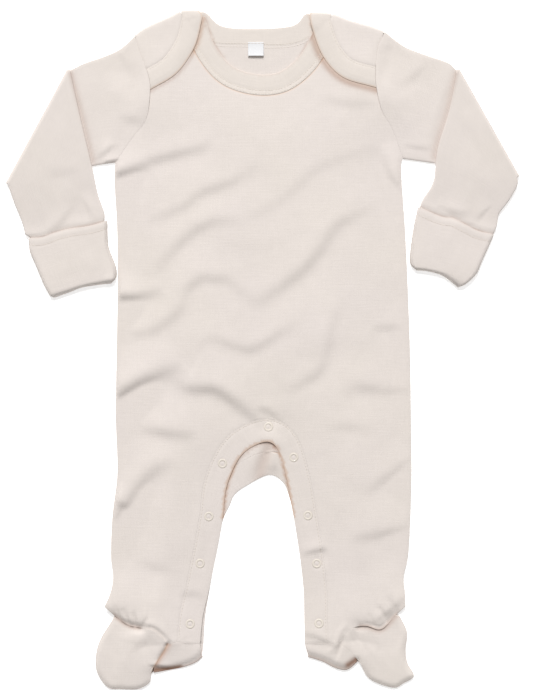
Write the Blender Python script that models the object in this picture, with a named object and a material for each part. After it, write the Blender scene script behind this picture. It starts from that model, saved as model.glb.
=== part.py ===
"""Footed baby sleepsuit with an envelope neck, laid flat on its back with the front up.

The frame has its origin at the middle of the underside's bounding box, +X to the right as the
suit is seen from the front, +Y towards the neck and +Z up. Every cut and sewn piece is one closed
solid with a wall of CLOTH. The pieces lie on each other in levels that are a wall and a gap
apart: the back is level 0, the front is level 1, and what is folded over the front is above it.
Sizes in this file are millimetres, and the meshes are made in metres.
"""

import math
from collections import namedtuple

import bmesh
import bpy
import numpy as np
from mathutils import Vector, geometry

MM = 0.001

# Cloth and how it lies
CLOTH = 1.2  # wall of the knitted cotton
GAP = 0.3  # between two pieces
SEAM_SHIFT = 0.7  # how far a sleeve starts from the armhole's line, which it meets at a slant
SOLE_GAP = 0.7  # how far a sole starts from the trouser's end, measured along the leg
TOE_GAP = 0.5  # between the heel's turned-up part and the toe, measured across the leg
LEVEL = CLOTH + GAP
CROWN = 3.0  # how far the front stands up in the middle of a part
CROWN_REACH = 42.0  # how far in from an edge the crown is nearly full
FOLD_FADE = 14.0  # how far in from an edge a fold is nearly full

# Bands
FRONT_BAND = 18.5
LAP_BAND = 18.0
PLACKET = 21.0
SHOULDER_HEM = 4.5  # how far the front stops inside the shoulder's turn
BAND_GAP = 0.4  # between a lap's band and the lap, and along the back's neck seam
FOLD_END = 1.5  # how far the shoulder's fold stops short of the armhole
FOLD_APART = 0.5  # between the fold of the back and the fold of its neckband
CORNER = 3.0  # how far a band's end stops short of a corner
ARMHOLE_CLEAR = 0.8  # between a band's end and the armhole
HEM_END = 2.0  # how far a hem or a seam stops short of the next line
DROP_LENGTH = 24.0  # how far below the upper arm the forearm has come down a level
TIP_TAPER = 0.62  # how thick the mitt is at its tip, as a share of its thickness
TUCK = 2.8  # how far the trouser end stands up over the foot
TUCK_FLAT = 12.0
TUCK_REACH = 28.0

# Small parts
LABEL_WALL = 0.6
POPPER_RADIUS = 4.25
POPPER_HEIGHT = 1.3
POPPER_FOOT = 0.4  # how far in from the cap's edge it touches the band
POPPER_EDGE = 0.6  # how far in its rounded edge ends
POPPER_RING = 1.4  # how far in its ring ends
POPPER_WELL = 2.0  # how far in its sunken middle starts
POPPER_FLOOR = 0.55  # the middle's height as a share of the cap's
POPPER_SIDES = 12

# How finely curves and panels are divided
CURVE_STEP = 8.0
PANEL_STEP = 16.5
TOE_STEP = 12.375
PLAIN_STEP = 40.0
ACROSS_SLEEVE = 10
TURN_STEPS = 4
CURVE_PARTS = 24
FINE_STEP = 2.0
SEAM_STEP = 3.0
GRID_ROWS = 0.87  # between rows of a grid of even triangles, in steps
GRID_CLEAR = 0.55  # between the grid and the outline, in steps
SHORTEST = 0.25  # between two points of an outline

COTTON = (0.80, 0.745, 0.69)
COTTON_BAND = (0.81, 0.755, 0.70)
LABEL_WHITE = (0.88, 0.87, 0.85)
POPPER_CREAM = (0.80, 0.74, 0.64)

Level = namedtuple("Level", "y left right")
Fold = namedtuple("Fold", "x0 y0 x1 y1 height width")
Span = namedtuple("Span", "inner_x inner_y outer_x outer_y")
Foot = namedtuple("Foot", "trouser_end toe toe_top heel_fold heel_seam toe_side sole_front")
Arm = namedtuple("Arm", "armhole upper top underarm forearm wrist mitt mouth tip")
Layer = namedtuple("Layer", "points normals faces")

# The outer edges of the body and the trouser legs, from the underarms to the ankles
SIDES = (
    Level(168.0, -132.5, 124.8),
    Level(150.0, -133.0, 125.2),
    Level(110.0, -130.8, 128.0),
    Level(60.0, -130.2, 130.4),
    Level(0.0, -131.2, 132.6),
    Level(-60.0, -132.0, 133.5),
    Level(-110.0, -130.5, 134.0),
    Level(-150.0, -135.0, 133.0),
    Level(-185.0, -136.3, 131.0),
    Level(-204.0, -134.3, 127.0),
    Level(-218.0, -136.5, 128.0),
    Level(-231.0, -142.0, 128.5),
)

# The inner edges of the two legs, from the crotch down to the ankles
INSEAMS = (
    Level(-175.0, -39.8, 32.0),
    Level(-197.0, -44.3, 35.0),
    Level(-218.0, -48.0, 37.0),
    Level(-240.0, -51.5, 37.5),
    Level(-262.0, -53.0, 38.0),
)

# The crotch arches between the legs, from left to right (x, y)
FRONT_ARCH = (
    (-35.5, -150.0),
    (-32.5, -125.0),
    (-24.0, -103.0),
    (-13.0, -90.0),
    (5.0, -83.0),
    (15.0, -93.0),
    (22.5, -120.0),
    (28.0, -150.0),
)
BACK_ARCH = (
    (-35.5, -153.0),
    (-29.0, -139.0),
    (-25.8, -131.5),
    (-17.5, -124.5),
    (5.0, -113.0),
    (18.0, -119.0),
    (24.0, -132.0),
    (28.0, -150.0),
)

# Necklines, from left to right (x, y)
FRONT_NECK = (
    (-52.0, 299.0),
    (-49.0, 290.0),
    (-42.5, 273.0),
    (-27.5, 255.0),
    (-6.0, 247.5),
    (14.0, 249.0),
    (30.0, 260.5),
    (41.0, 276.0),
    (50.0, 297.0),
)
BACK_NECK = (
    (-54.8, 303.4),
    (-48.8, 301.3),
    (-36.5, 291.2),
    (-8.0, 288.8),
    (26.5, 291.2),
    (38.0, 301.0),
    (42.0, 301.6),
)
BACK_SEAM = (
    (-73.0, 302.4),
    (-62.0, 287.0),
    (-43.0, 275.5),
    (-20.0, 274.0),
    (22.0, 273.5),
    (44.5, 282.0),
    (62.0, 299.8),
)

# The shoulders' folds, where the back turns over onto the front, from left to right (x, y)
SHOULDER_LEFT = ((-115.7, 282.2), (-105.0, 289.8), (-83.0, 299.8), (-72.0, 304.9), (-54.0, 305.5))
SHOULDER_RIGHT = ((41.0, 303.8), (62.0, 302.2), (78.0, 296.4), (97.0, 291.0), (110.0, 286.0))

# The laps' free edges, from the shoulder's tip to the armhole (x, y)
LAP_LEFT = ((-54.8, 303.4), (-55.0, 296.0), (-61.5, 271.0), (-77.5, 248.0), (-100.5, 233.6))
LAP_RIGHT = ((42.0, 301.6), (44.5, 289.0), (54.5, 263.3), (72.5, 244.5), (102.0, 235.4))

# The largest folds that stand up on the front
FOLDS = (
    Fold(-104.0, 104.0, -8.0, 154.0, 1.8, 9.0),
    Fold(-96.0, 56.0, -24.0, 104.0, 2.0, 10.0),
    Fold(92.0, 116.0, -2.0, 34.0, 2.4, 10.0),
    Fold(-36.0, 50.0, -118.0, 4.0, 2.2, 10.0),
    Fold(-122.0, -56.0, -84.0, -30.0, 2.2, 9.0),
    Fold(-70.0, -26.0, -14.0, -48.0, 2.2, 9.0),
    Fold(40.0, -34.0, 72.0, -4.0, 1.4, 9.0),
    Fold(-88.0, -112.0, -122.0, -158.0, 2.2, 8.0),
    Fold(-132.0, -262.0, -118.0, -288.0, 2.6, 16.0),
    Fold(104.0, -264.0, 118.0, -288.0, 2.6, 14.0),
    Fold(-84.0, -277.0, -64.0, -274.0, 1.6, 9.0),
    Fold(48.0, -268.0, 72.0, -277.0, 1.6, 9.0),
)

ARMS = {
    "left": Arm(
        armhole=(
            (-115.2, 282.4),
            (-108.5, 263.0),
            (-102.5, 246.0),
            (-101.0, 232.0),
            (-104.5, 207.0),
            (-117.0, 190.0),
            (-132.0, 168.5),
        ),
        upper=(
            Span(-126.5, 271.4, -150.0, 165.5),
            Span(-141.0, 264.2, -175.0, 160.5),
            Span(-160.0, 257.6, -203.0, 155.0),
        ),
        top=(-175.4, 252.6),
        underarm=(-231.2, 149.5),
        forearm=(
            Span(-163.0, 206.0, -223.6, 133.0),
            Span(-153.5, 166.0, -217.5, 118.0),
            Span(-148.0, 140.0, -214.0, 107.0),
            Span(-143.0, 122.5, -213.2, 103.5),
        ),
        wrist=(Span(-145.5, 113.0, -206.5, 99.5), Span(-144.5, 98.0, -202.5, 84.5)),
        mitt=(
            Span(-139.2, 103.0, -209.2, 88.0),
            Span(-138.0, 91.0, -204.4, 77.0),
            Span(-132.2, 75.0, -196.4, 58.5),
            Span(-131.4, 67.0, -192.6, 51.5),
        ),
        mouth=(
            (-139.3, 116.0),
            (-155.0, 111.3),
            (-174.0, 108.5),
            (-187.0, 105.0),
            (-198.0, 101.0),
            (-210.6, 100.4),
        ),
        tip=((-133.8, 59.2), (-144.0, 58.4), (-162.0, 55.6), (-173.0, 51.4), (-189.6, 45.6)),
    ),
    "right": Arm(
        armhole=(
            (110.2, 286.2),
            (103.5, 271.0),
            (101.8, 254.0),
            (102.3, 236.0),
            (107.5, 214.0),
            (116.5, 198.5),
            (126.5, 171.5),
        ),
        upper=(
            Span(119.5, 278.2, 150.0, 168.1),
            Span(130.5, 271.2, 172.0, 164.9),
            Span(149.0, 264.2, 200.0, 160.7),
            Span(166.5, 258.2, 219.0, 157.8),
        ),
        top=(177.0, 252.6),
        underarm=(231.4, 155.8),
        forearm=(
            Span(167.5, 215.0, 229.0, 147.5),
            Span(157.0, 180.0, 222.0, 134.5),
            Span(153.8, 152.0, 212.8, 122.0),
            Span(144.8, 134.6, 210.0, 112.0),
        ),
        wrist=(Span(142.6, 127.0, 204.0, 103.5), Span(140.0, 110.0, 197.5, 89.0)),
        mitt=(
            Span(136.0, 111.0, 204.2, 94.0),
            Span(133.2, 90.0, 197.8, 80.5),
            Span(132.8, 78.5, 191.8, 67.5),
        ),
        mouth=(
            (139.8, 128.5),
            (160.5, 119.5),
            (171.0, 118.0),
            (183.0, 112.0),
            (194.0, 106.5),
            (208.2, 103.5),
        ),
        tip=((136.0, 71.0), (147.0, 70.4), (160.0, 67.0), (168.0, 62.0), (177.4, 54.2)),
    ),
}

FEET = {
    "left": Foot(
        trouser_end=(
            (-133.0, -239.5),
            (-119.0, -249.3),
            (-98.0, -252.0),
            (-85.0, -263.5),
            (-74.7, -264.5),
        ),
        toe=(
            (-134.0, -241.5),
            (-146.0, -261.0),
            (-150.0, -277.0),
            (-148.5, -291.0),
            (-139.0, -304.0),
            (-127.0, -305.5),
            (-112.0, -305.5),
            (-101.5, -299.5),
            (-100.5, -292.0),
        ),
        toe_top=((-96.0, -247.0), (-112.0, -242.0)),
        heel_fold=((-98.0, -289.4), (-86.0, -287.2), (-70.0, -284.0), (-60.0, -280.0), (-54.4, -275.0)),
        heel_seam=((-53.2, -262.5), (-70.0, -266.0), (-85.5, -265.0)),
        toe_side=((-97.5, -285.0), (-94.0, -277.0), (-90.0, -258.0)),
        sole_front=((-110.0, -251.5), (-90.0, -257.0), (-76.0, -262.5)),
    ),
    "right": Foot(
        trouser_end=(
            (121.0, -238.0),
            (107.0, -251.5),
            (93.0, -248.5),
            (80.0, -250.0),
            (68.0, -263.0),
            (59.7, -264.5),
        ),
        toe=(
            (124.0, -240.5),
            (130.0, -254.0),
            (128.8, -270.0),
            (130.5, -282.0),
            (136.2, -293.5),
            (127.0, -300.2),
            (117.0, -304.2),
            (96.5, -296.4),
            (87.5, -281.5),
        ),
        toe_top=((84.0, -241.0), (100.0, -240.5)),
        heel_fold=((84.5, -279.8), (76.0, -286.8), (66.0, -285.3), (55.0, -279.7), (41.0, -275.2)),
        heel_seam=((38.0, -262.5), (50.0, -266.0), (67.5, -265.0)),
        toe_side=((85.5, -279.0), (81.5, -272.0), (74.0, -259.5)),
        sole_front=((105.0, -250.0), (84.0, -256.0), (62.0, -262.5)),
    ),
}

# The press fasteners down the left leg, at the crotch and down the right leg (x, y)
POPPERS = (
    (-65.1, -246.6),
    (-56.2, -192.4),
    (-48.3, -150.1),
    (-36.0, -102.5),
    (5.3, -69.5),
    (28.0, -97.0),
    (40.8, -149.2),
    (48.8, -192.4),
    (50.7, -246.1),
)
LABEL_CORNERS = ((-13.0, 262.5), (1.0, 262.5), (1.0, 276.5), (-13.0, 276.5))


# Lines: arrays of points (x, y)


def curve(points, step=CURVE_STEP):
    """A Catmull-Rom curve through the points, divided into steps of about this length."""
    known = np.array(points, float)
    ends = np.vstack([2 * known[0] - known[1], known, 2 * known[-1] - known[-2]])
    fine = []
    for a, b, c, d in zip(ends, ends[1:], ends[2:], ends[3:]):
        for t in np.arange(CURVE_PARTS) / CURVE_PARTS:
            square, cube = 2 * a - 5 * b + 4 * c - d, 3 * b - a - 3 * c + d
            fine.append(0.5 * (2 * b + (c - a) * t + square * t**2 + cube * t**3))
    fine.append(known[-1])
    return divided(np.array(fine), step)


def lengths_along(line):
    return np.concatenate([[0.0], np.cumsum(np.hypot(*np.diff(line, axis=0).T))])


def at_lengths(line, wanted):
    along = lengths_along(line)
    return np.column_stack([np.interp(wanted, along, line[:, 0]), np.interp(wanted, along, line[:, 1])])


def divided(line, step):
    total = lengths_along(line)[-1]
    return at_lengths(line, np.linspace(0.0, total, max(2, round(total / step) + 1)))


def left_normals(line):
    slope = np.gradient(line, axis=0)
    slope /= np.hypot(slope[:, 0], slope[:, 1])[:, None]
    return np.column_stack([-slope[:, 1], slope[:, 0]])


def beside(line, distance):
    """The line moved this far to its left, or to its right if the distance is negative."""
    return line + left_normals(line) * distance


def nearest(points, line):
    """How far each point is from the line's points."""
    return np.hypot(points[:, None, 0] - line[None, :, 0], points[:, None, 1] - line[None, :, 1]).min(axis=1)


def smooth_step(value):
    value = np.clip(value, 0.0, 1.0)
    return value * value * (3.0 - 2.0 * value)


def side_line(side):
    return curve([(getattr(level, side), level.y) for level in SIDES])


def opening(arch):
    """The free edge between the legs, from the left ankle over the arch to the right ankle."""
    left = [(level.left, level.y) for level in reversed(INSEAMS)]
    right = [(level.right, level.y) for level in INSEAMS]
    return curve(left + list(arch) + right)


def silhouette():
    """The edges where the suit's cloth lies flat on the surface."""
    lines = [side_line("left"), side_line("right"), opening(FRONT_ARCH), curve(FRONT_NECK)]
    lines += [curve(SHOULDER_LEFT), curve(SHOULDER_RIGHT)]
    for arm in ARMS.values():
        inner = [(span.inner_x, span.inner_y) for span in arm.forearm]
        outer = [(span.outer_x, span.outer_y) for span in arm.forearm]
        upper = [(span.inner_x, span.inner_y) for span in arm.upper]
        lines.append(curve([arm.armhole[0]] + upper + [arm.top]))
        lines.append(curve([arm.armhole[-1], arm.underarm]))
        lines.append(curve([arm.top, arm.underarm]))
        lines.append(curve([arm.top] + inner + [(span.inner_x, span.inner_y) for span in arm.mitt]))
        lines.append(curve([arm.underarm] + outer + [(span.outer_x, span.outer_y) for span in arm.mitt]))
        lines.append(curve(arm.tip))
    for foot in FEET.values():
        lines += [curve(foot.toe), curve(foot.heel_fold)]
    return np.vstack([divided(line, CURVE_STEP / 3) for line in lines])


def relief(points, edges):
    """How far the cloth above the back stands up at each point (x, y)."""
    inside = nearest(points, edges)
    height = CROWN * (1.0 - np.exp(-((inside / CROWN_REACH) ** 2)))
    fade = 1.0 - np.exp(-((inside / FOLD_FADE) ** 2))
    for fold in FOLDS:
        start = np.array([fold.x0, fold.y0])
        run = np.array([fold.x1, fold.y1]) - start
        share = np.clip((points - start) @ run / (run @ run), 0.0, 1.0)
        away = np.hypot(*(points - start - share[:, None] * run).T)
        height += fade * fold.height * np.exp(-((away / fold.width) ** 2))
    return height


# Cloth layers: middle surfaces with a normal at each point


def inside_outline(points, outline):
    """Which points lie inside the outline, by counting the edges to their right."""
    a = outline
    b = np.roll(outline, -1, axis=0)
    x, y = points[:, 0, None], points[:, 1, None]
    crosses = (a[:, 1] > y) != (b[:, 1] > y)
    with np.errstate(divide="ignore", invalid="ignore"):
        at_x = a[:, 0] + (y - a[:, 1]) * (b[:, 0] - a[:, 0]) / (b[:, 1] - a[:, 1])
    return (crosses & (x < at_x)).sum(axis=1) % 2 == 1


def flat_layer(outline, level, step, facing=1.0):
    """The middle surface of a flat panel, as triangles, with points inside it on a grid of this step."""
    low, high = outline.min(axis=0), outline.max(axis=0)
    grid = np.array(
        [
            (x + 0.5 * step * (row % 2), y)
            for row, y in enumerate(np.arange(low[1] + 0.5 * step, high[1], GRID_ROWS * step))
            for x in np.arange(low[0], high[0], step)
        ]
    ).reshape(-1, 2)
    grid = grid[inside_outline(grid, outline)]
    if len(grid):
        rim = divided(np.vstack([outline, outline[:1]]), FINE_STEP)
        grid = grid[nearest(grid, rim) > GRID_CLEAR * step]
    known = [Vector(point) for point in np.vstack([outline, grid])]
    made = geometry.delaunay_2d_cdt(known, [], [list(range(len(outline)))], 1, 1e-5)
    flat = np.array([tuple(point) for point in made[0]])
    height = np.full((len(flat), 1), LEVEL * level + 0.5 * CLOTH)
    normals = np.tile([0.0, 0.0, facing], (len(flat), 1))
    return Layer(np.hstack([flat, height]), normals, [tuple(face) for face in made[2]])


def found(layer, line):
    """The numbers of the layer's points that lie on the line's points."""
    away = np.hypot(
        layer.points[None, :, 0] - line[:, None, 0], layer.points[None, :, 1] - line[:, None, 1]
    )
    return away.argmin(axis=1)


def turned_over(lower, laps, outwards):
    """The lower layer and each lap above it, joined by a half turn along their common line."""
    points, normals, faces = [lower.points], [lower.normals], list(lower.faces)
    for (lap, line), sign in zip(laps, outwards):
        first = sum(len(part) for part in points)
        faces += [tuple(first + number for number in face) for face in lap.faces]
        rows = [found(lower, line)]
        middle = 0.5 * (lower.points[0, 2] + lap.points[0, 2])
        radius = lap.points[0, 2] - middle
        points.append(lap.points)
        normals.append(lap.normals)
        out = left_normals(line) * sign
        start = first + len(lap.points)
        for number in range(1, TURN_STEPS):
            angle = math.pi * number / TURN_STEPS
            across = np.column_stack([out * math.sin(angle), np.full(len(line), -math.cos(angle))])
            points.append(np.column_stack([line, np.full(len(line), middle)]) + across * radius)
            normals.append(across)
            rows.append(start + (number - 1) * len(line) + np.arange(len(line)))
        rows.append(first + found(lap, line))
        faces += strip(rows)
    return Layer(np.vstack(points), np.vstack(normals), faces)


def strip(rows):
    """Faces between each row of points and the next."""
    return [
        (low[i], low[i + 1], high[i + 1], high[i])
        for low, high in zip(rows, rows[1:])
        for i in range(len(low) - 1)
    ]


def tube_ring(middle, half, height, tilt=0.0, away=(0.0, 0.0)):
    """One ring of a flattened tube round its middle line, with a normal at each point.

    Tilt turns the ring over the line: at 0 its front is up, and at a half turn it is down.
    """
    up = np.array([away[0] * math.sin(tilt), away[1] * math.sin(tilt), math.cos(tilt)])
    along = middle[-1] - middle[0]
    along = np.append(along / np.hypot(*along), 0.0)
    centre = np.column_stack([middle, np.broadcast_to(height, len(middle))])
    front = centre + up * half
    back = centre[::-1] - up * half
    ring = np.vstack([front, centre[-1] + along * half, back, centre[0] - along * half])
    count = len(middle)
    normals = np.vstack([np.tile(up, (count, 1)), along, np.tile(-up, (count, 1)), -along])
    return ring, normals


def tube_layer(rings, closed_by=None):
    """The middle surface through the rings, closed at its last ring by a line if one is given."""
    size = len(rings[0][0])
    faces = []
    for number in range(len(rings) - 1):
        for i in range(size):
            j = (i + 1) % size
            first = number * size
            faces.append((first + i, first + j, first + size + j, first + size + i))
    points = [ring for ring, _ in rings]
    normals = [normal for _, normal in rings]
    if closed_by is not None:
        line, direction = closed_by
        last = (len(rings) - 1) * size
        end = last + size
        parts = len(line) - 1
        points.append(line)
        normals.append(np.tile(direction, (len(line), 1)))
        for i in range(parts):
            faces.append((last + i, last + i + 1, end + i + 1, end + i))
            faces.append((last + size - 2 - i, last + size - 3 - i, end + i + 1, end + i))
        faces.append((last + parts, last + parts + 1, end + parts))
        faces.append((last + parts + 1, last + parts + 2, end + parts))
        faces.append((last + size - 2, last + size - 1, end))
        faces.append((last + size - 1, last, end))
    return Layer(np.vstack(points), np.vstack(normals), faces)


# Solids


def material(name, colour, roughness):
    finish = bpy.data.materials.get(name) or bpy.data.materials.new(name)
    finish.use_nodes = True
    shader = finish.node_tree.nodes["Principled BSDF"]
    shader.inputs["Base Color"].default_value = (*colour, 1.0)
    shader.inputs["Roughness"].default_value = roughness
    return finish


def solid(name, points, faces, finish):
    """One closed object in metres, with its faces turned outwards."""
    mesh = bpy.data.meshes.new(name)
    mesh.from_pydata([tuple(point) for point in np.asarray(points) * MM], [], [tuple(face) for face in faces])
    shape = bmesh.new()
    shape.from_mesh(mesh)
    bmesh.ops.recalc_face_normals(shape, faces=shape.faces)
    bmesh.ops.triangulate(shape, faces=shape.faces)
    shape.to_mesh(mesh)
    shape.free()
    mesh.materials.append(finish)
    made = bpy.data.objects.new(name, mesh)
    bpy.context.scene.collection.objects.link(made)


def cloth_solid(name, layer, edges, finish, wall=CLOTH, lift=None, settled=True):
    """Gives the layer its wall, closes its open edges and lets it lie over what is under it."""
    outer = layer.points + layer.normals * 0.5 * wall
    inner = layer.points - layer.normals * 0.5 * wall
    count = len(outer)
    faces = list(layer.faces) + [tuple(number + count for number in reversed(face)) for face in layer.faces]
    uses = {}
    for face in layer.faces:
        for a, b in zip(face, face[1:] + face[:1]):
            uses.setdefault((min(a, b), max(a, b)), []).append((a, b))
    for found_edges in uses.values():
        if len(found_edges) == 1:
            a, b = found_edges[0]
            faces.append((a + count, b + count, b, a))
    points = np.vstack([outer, inner])
    if settled:
        share = smooth_step((points[:, 2] - CLOTH) / GAP)
        points[:, 2] += share * relief(points[:, :2], edges)
    if lift is not None:
        points[:, 2] += lift(points[:, :2])
    solid(name, points, faces, finish)


def outline_of(*lines):
    """One closed outline from lines end to end, without points that nearly coincide."""
    points = np.vstack(lines)
    kept = [points[0]]
    for point in points[1:]:
        if min(np.hypot(*(point - kept[-1])), np.hypot(*(point - points[0]))) > SHORTEST:
            kept.append(point)
    return np.array(kept)


def upright(line, bottom, top):
    """The points of the line that lie between these heights."""
    return line[(line[:, 1] > bottom) & (line[:, 1] < top)]


def armhole_line(side):
    """The armhole's seam from the shoulder to the underarm, with the points that a sleeve has."""
    line = curve(ARMS[side].armhole, SEAM_STEP)
    inset = 0.5 * (CLOTH + LEVEL)
    total = lengths_along(line)[-1]
    return at_lengths(line, np.linspace(inset, total - inset, ACROSS_SLEEVE + 1))


def shoulder_line(side, from_x, to_x):
    """The line that the shoulder turns over, between two places across the suit."""
    outer = curve(SHOULDER_LEFT if side == "left" else SHOULDER_RIGHT, FINE_STEP)
    line = beside(outer, -(LEVEL + 0.5 * CLOTH))
    count = max(2, round(abs(to_x - from_x) / CURVE_STEP) + 1)
    across = np.linspace(from_x, to_x, count)
    return np.column_stack([across, np.interp(across, line[:, 0], line[:, 1])])


class Shoulder:
    """The lines of one envelope shoulder: the lap's free edge, its seam and its fold."""

    def __init__(self, side):
        sign = -1.0 if side == "left" else 1.0
        self.armhole = armhole_line(side)
        self.edge = curve(LAP_LEFT if side == "left" else LAP_RIGHT)
        tip = self.edge[0][0]
        seam_x = BACK_SEAM[0][0] if side == "left" else BACK_SEAM[-1][0]
        armhole_x = self.armhole[0][0] - sign * FOLD_END
        self.band_fold = shoulder_line(side, tip, seam_x)
        self.lap_fold = shoulder_line(side, seam_x + sign * FOLD_APART, armhole_x)
        self.band_seam = self.short_of_armhole(beside(self.edge, sign * LAP_BAND), sign)
        self.lap_seam = self.short_of_armhole(beside(self.edge, sign * (LAP_BAND + BAND_GAP)), sign)

    def short_of_armhole(self, line, sign):
        """The part of a line from below the shoulder's fold to just short of the armhole."""
        upward = self.armhole[::-1]
        limit = np.interp(line[:, 1], upward[:, 1], upward[:, 0])
        clear = sign * (limit - line[:, 0]) > ARMHOLE_CLEAR
        below = line[:, 1] < self.band_fold[-1][1] - CORNER
        return line[clear & below]

    def band_outline(self):
        return outline_of(self.band_fold, self.band_seam, self.end_of(self.band_seam), self.edge[::-1])

    def end_of(self, seam):
        upward = self.armhole[::-1]
        height = seam[-1][1] - CORNER
        return np.array([[np.interp(height, upward[:, 1], upward[:, 0]), height]])

    def lap_outline(self):
        down = upright(self.armhole, self.lap_seam[-1][1] + FOLD_END, self.lap_fold[-1][1] - FOLD_END)
        return outline_of(self.lap_fold, down, self.lap_seam[::-1])


def body_outline(arch, neck, shoulders, ankle):
    """A front or back panel: armholes, sides, ankles, the cloth edge of the placket, and the neck."""
    free_edge = beside(opening(arch), PLACKET + GAP)
    left, right = side_line("left"), side_line("right")
    return outline_of(
        armhole_line("left"),
        left,
        curve([left[-1]] + list(ankle["left"]))[1:],
        free_edge[(free_edge[:, 1] > ankle["left"][-1][1] + FOLD_END) | (free_edge[:, 0] > 0)],
        curve([right[-1]] + list(ankle["right"]))[:0:-1],
        right[::-1],
        armhole_line("right")[::-1],
        shoulders["right"],
        neck,
        shoulders["left"],
    )


def make_back(edges, cotton, shoulders):
    seam = beside(curve(BACK_SEAM), -BAND_GAP)[::-1]
    ankle = {side: foot.trouser_end[:1] + foot.sole_front for side, foot in FEET.items()}
    folds = {"right": shoulders["right"].lap_fold[::-1], "left": shoulders["left"].lap_fold}
    seam = seam[seam[:, 0] < folds["right"][-1][0] - HEM_END]
    seam = seam[seam[:, 0] > folds["left"][0][0] + HEM_END]
    outline = body_outline(BACK_ARCH, seam, folds, ankle)
    lower = flat_layer(outline, 0, PLAIN_STEP, -1.0)
    laps = [(flat_layer(one.lap_outline(), 2, PANEL_STEP), one.lap_fold) for one in shoulders.values()]
    cloth_solid("back_panel", turned_over(lower, laps, (-1.0, 1.0)), edges, cotton)


def make_front(edges, cotton):
    neck = beside(curve(FRONT_NECK), -(FRONT_BAND + GAP))[::-1]
    hems = {}
    for side, line in (("left", SHOULDER_LEFT), ("right", SHOULDER_RIGHT)):
        hem = beside(curve(line), -SHOULDER_HEM)
        armhole = armhole_line(side)[0][0]
        limit = (armhole, neck[-1][0]) if side == "left" else (neck[0][0], armhole)
        limit = (limit[0] + HEM_END, limit[1] - HEM_END)
        hems[side] = hem[(hem[:, 0] > limit[0]) & (hem[:, 0] < limit[1])][::-1]
    ankle = {side: foot.trouser_end for side, foot in FEET.items()}
    outline = body_outline(FRONT_ARCH, neck, hems, ankle)
    ends = np.vstack([curve(foot.trouser_end[:-1], SEAM_STEP) for foot in FEET.values()])

    def lift(points):
        return TUCK * (1.0 - smooth_step((nearest(points, ends) - TUCK_FLAT) / (TUCK_REACH - TUCK_FLAT)))

    cloth_solid("front_panel", flat_layer(outline, 1, PANEL_STEP), edges, cotton, lift=lift)


def make_neck_bands(edges, band, shoulders):
    neck = curve(FRONT_NECK)
    outline = outline_of(neck, beside(neck, -FRONT_BAND)[::-1])
    cloth_solid("neck_band_front", flat_layer(outline, 1, PANEL_STEP), edges, band)
    seam = curve(BACK_SEAM)[1:-1]
    left, right = shoulders["left"], shoulders["right"]
    outline = outline_of(left.band_fold[::-1], curve(BACK_NECK)[1:-1], right.band_fold, seam[::-1])
    lower = flat_layer(outline, 0, PLAIN_STEP, -1.0)
    laps = [(flat_layer(one.band_outline(), 2, PANEL_STEP), one.band_fold) for one in (left, right)]
    cloth_solid("neck_band_back", turned_over(lower, laps, (-1.0, 1.0)), edges, band)


def make_plackets(edges, band):
    for name, arch, level, step in (
        ("placket_front", FRONT_ARCH, 1, PANEL_STEP),
        ("placket_back", BACK_ARCH, 0, PLAIN_STEP),
    ):
        line = opening(arch)
        outline = outline_of(line, beside(line, PLACKET)[::-1])
        cloth_solid(name, flat_layer(outline, level, step), edges, band)


def make_sleeve(side, edges, cotton):
    """A sleeve's tube, folded over towards the front along a slanting line, so its end points down."""
    arm = ARMS[side]
    half = 0.5 * LEVEL
    radius = LEVEL
    share = np.linspace(0.0, 1.0, ACROSS_SLEEVE + 1)[:, None]

    def between(start, end, trim=half + 0.5 * CLOTH):
        start, end = np.array(start), np.array(end)
        inset = (end - start) / np.hypot(*(end - start)) * trim
        return start + inset + (end - start - 2 * inset) * share

    seam = armhole_line(side)
    fold = between(arm.top, arm.underarm)
    run = fold[-1] - fold[0]
    run /= np.hypot(*run)
    outwards = np.array([run[1], -run[0]])
    if np.dot(outwards, fold[0] - seam[0]) < 0:
        outwards = -outwards
    fold = fold - outwards * (radius + half + 0.5 * CLOTH)
    start = seam + (fold - seam) / np.hypot(*(fold - seam).T)[:, None] * SEAM_SHIFT
    low, high = half + 0.5 * CLOTH, half + 0.5 * CLOTH + 2 * radius
    rings = [tube_ring(start, half, low)]
    for span in arm.upper:
        middle = between((span.inner_x, span.inner_y), (span.outer_x, span.outer_y))
        rings.append(tube_ring(middle, half, low))
    for number in range(TURN_STEPS + 1):
        tilt = math.pi * number / TURN_STEPS
        middle = fold + outwards * radius * math.sin(tilt)
        height = 0.5 * (low + high) - radius * math.cos(tilt)
        rings.append(tube_ring(middle, half, height, tilt, -outwards))
    underarm = np.array(arm.underarm) - np.array(arm.armhole[-1])
    underarm /= np.hypot(*underarm)
    for span in arm.forearm + arm.wrist:
        middle = between((span.inner_x, span.inner_y), (span.outer_x, span.outer_y))
        away = middle - np.array(arm.armhole[-1])
        below = np.abs(away[:, 0] * underarm[1] - away[:, 1] * underarm[0])
        past = np.where(away[:, 1] < away[:, 0] * underarm[1] / underarm[0], below, 0.0)
        height = high - LEVEL * smooth_step(past / DROP_LENGTH)
        rings.append(tube_ring(middle, half, height, math.pi, -outwards))
    cloth_solid(f"sleeve_{side}", tube_layer(rings), edges, cotton)


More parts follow.
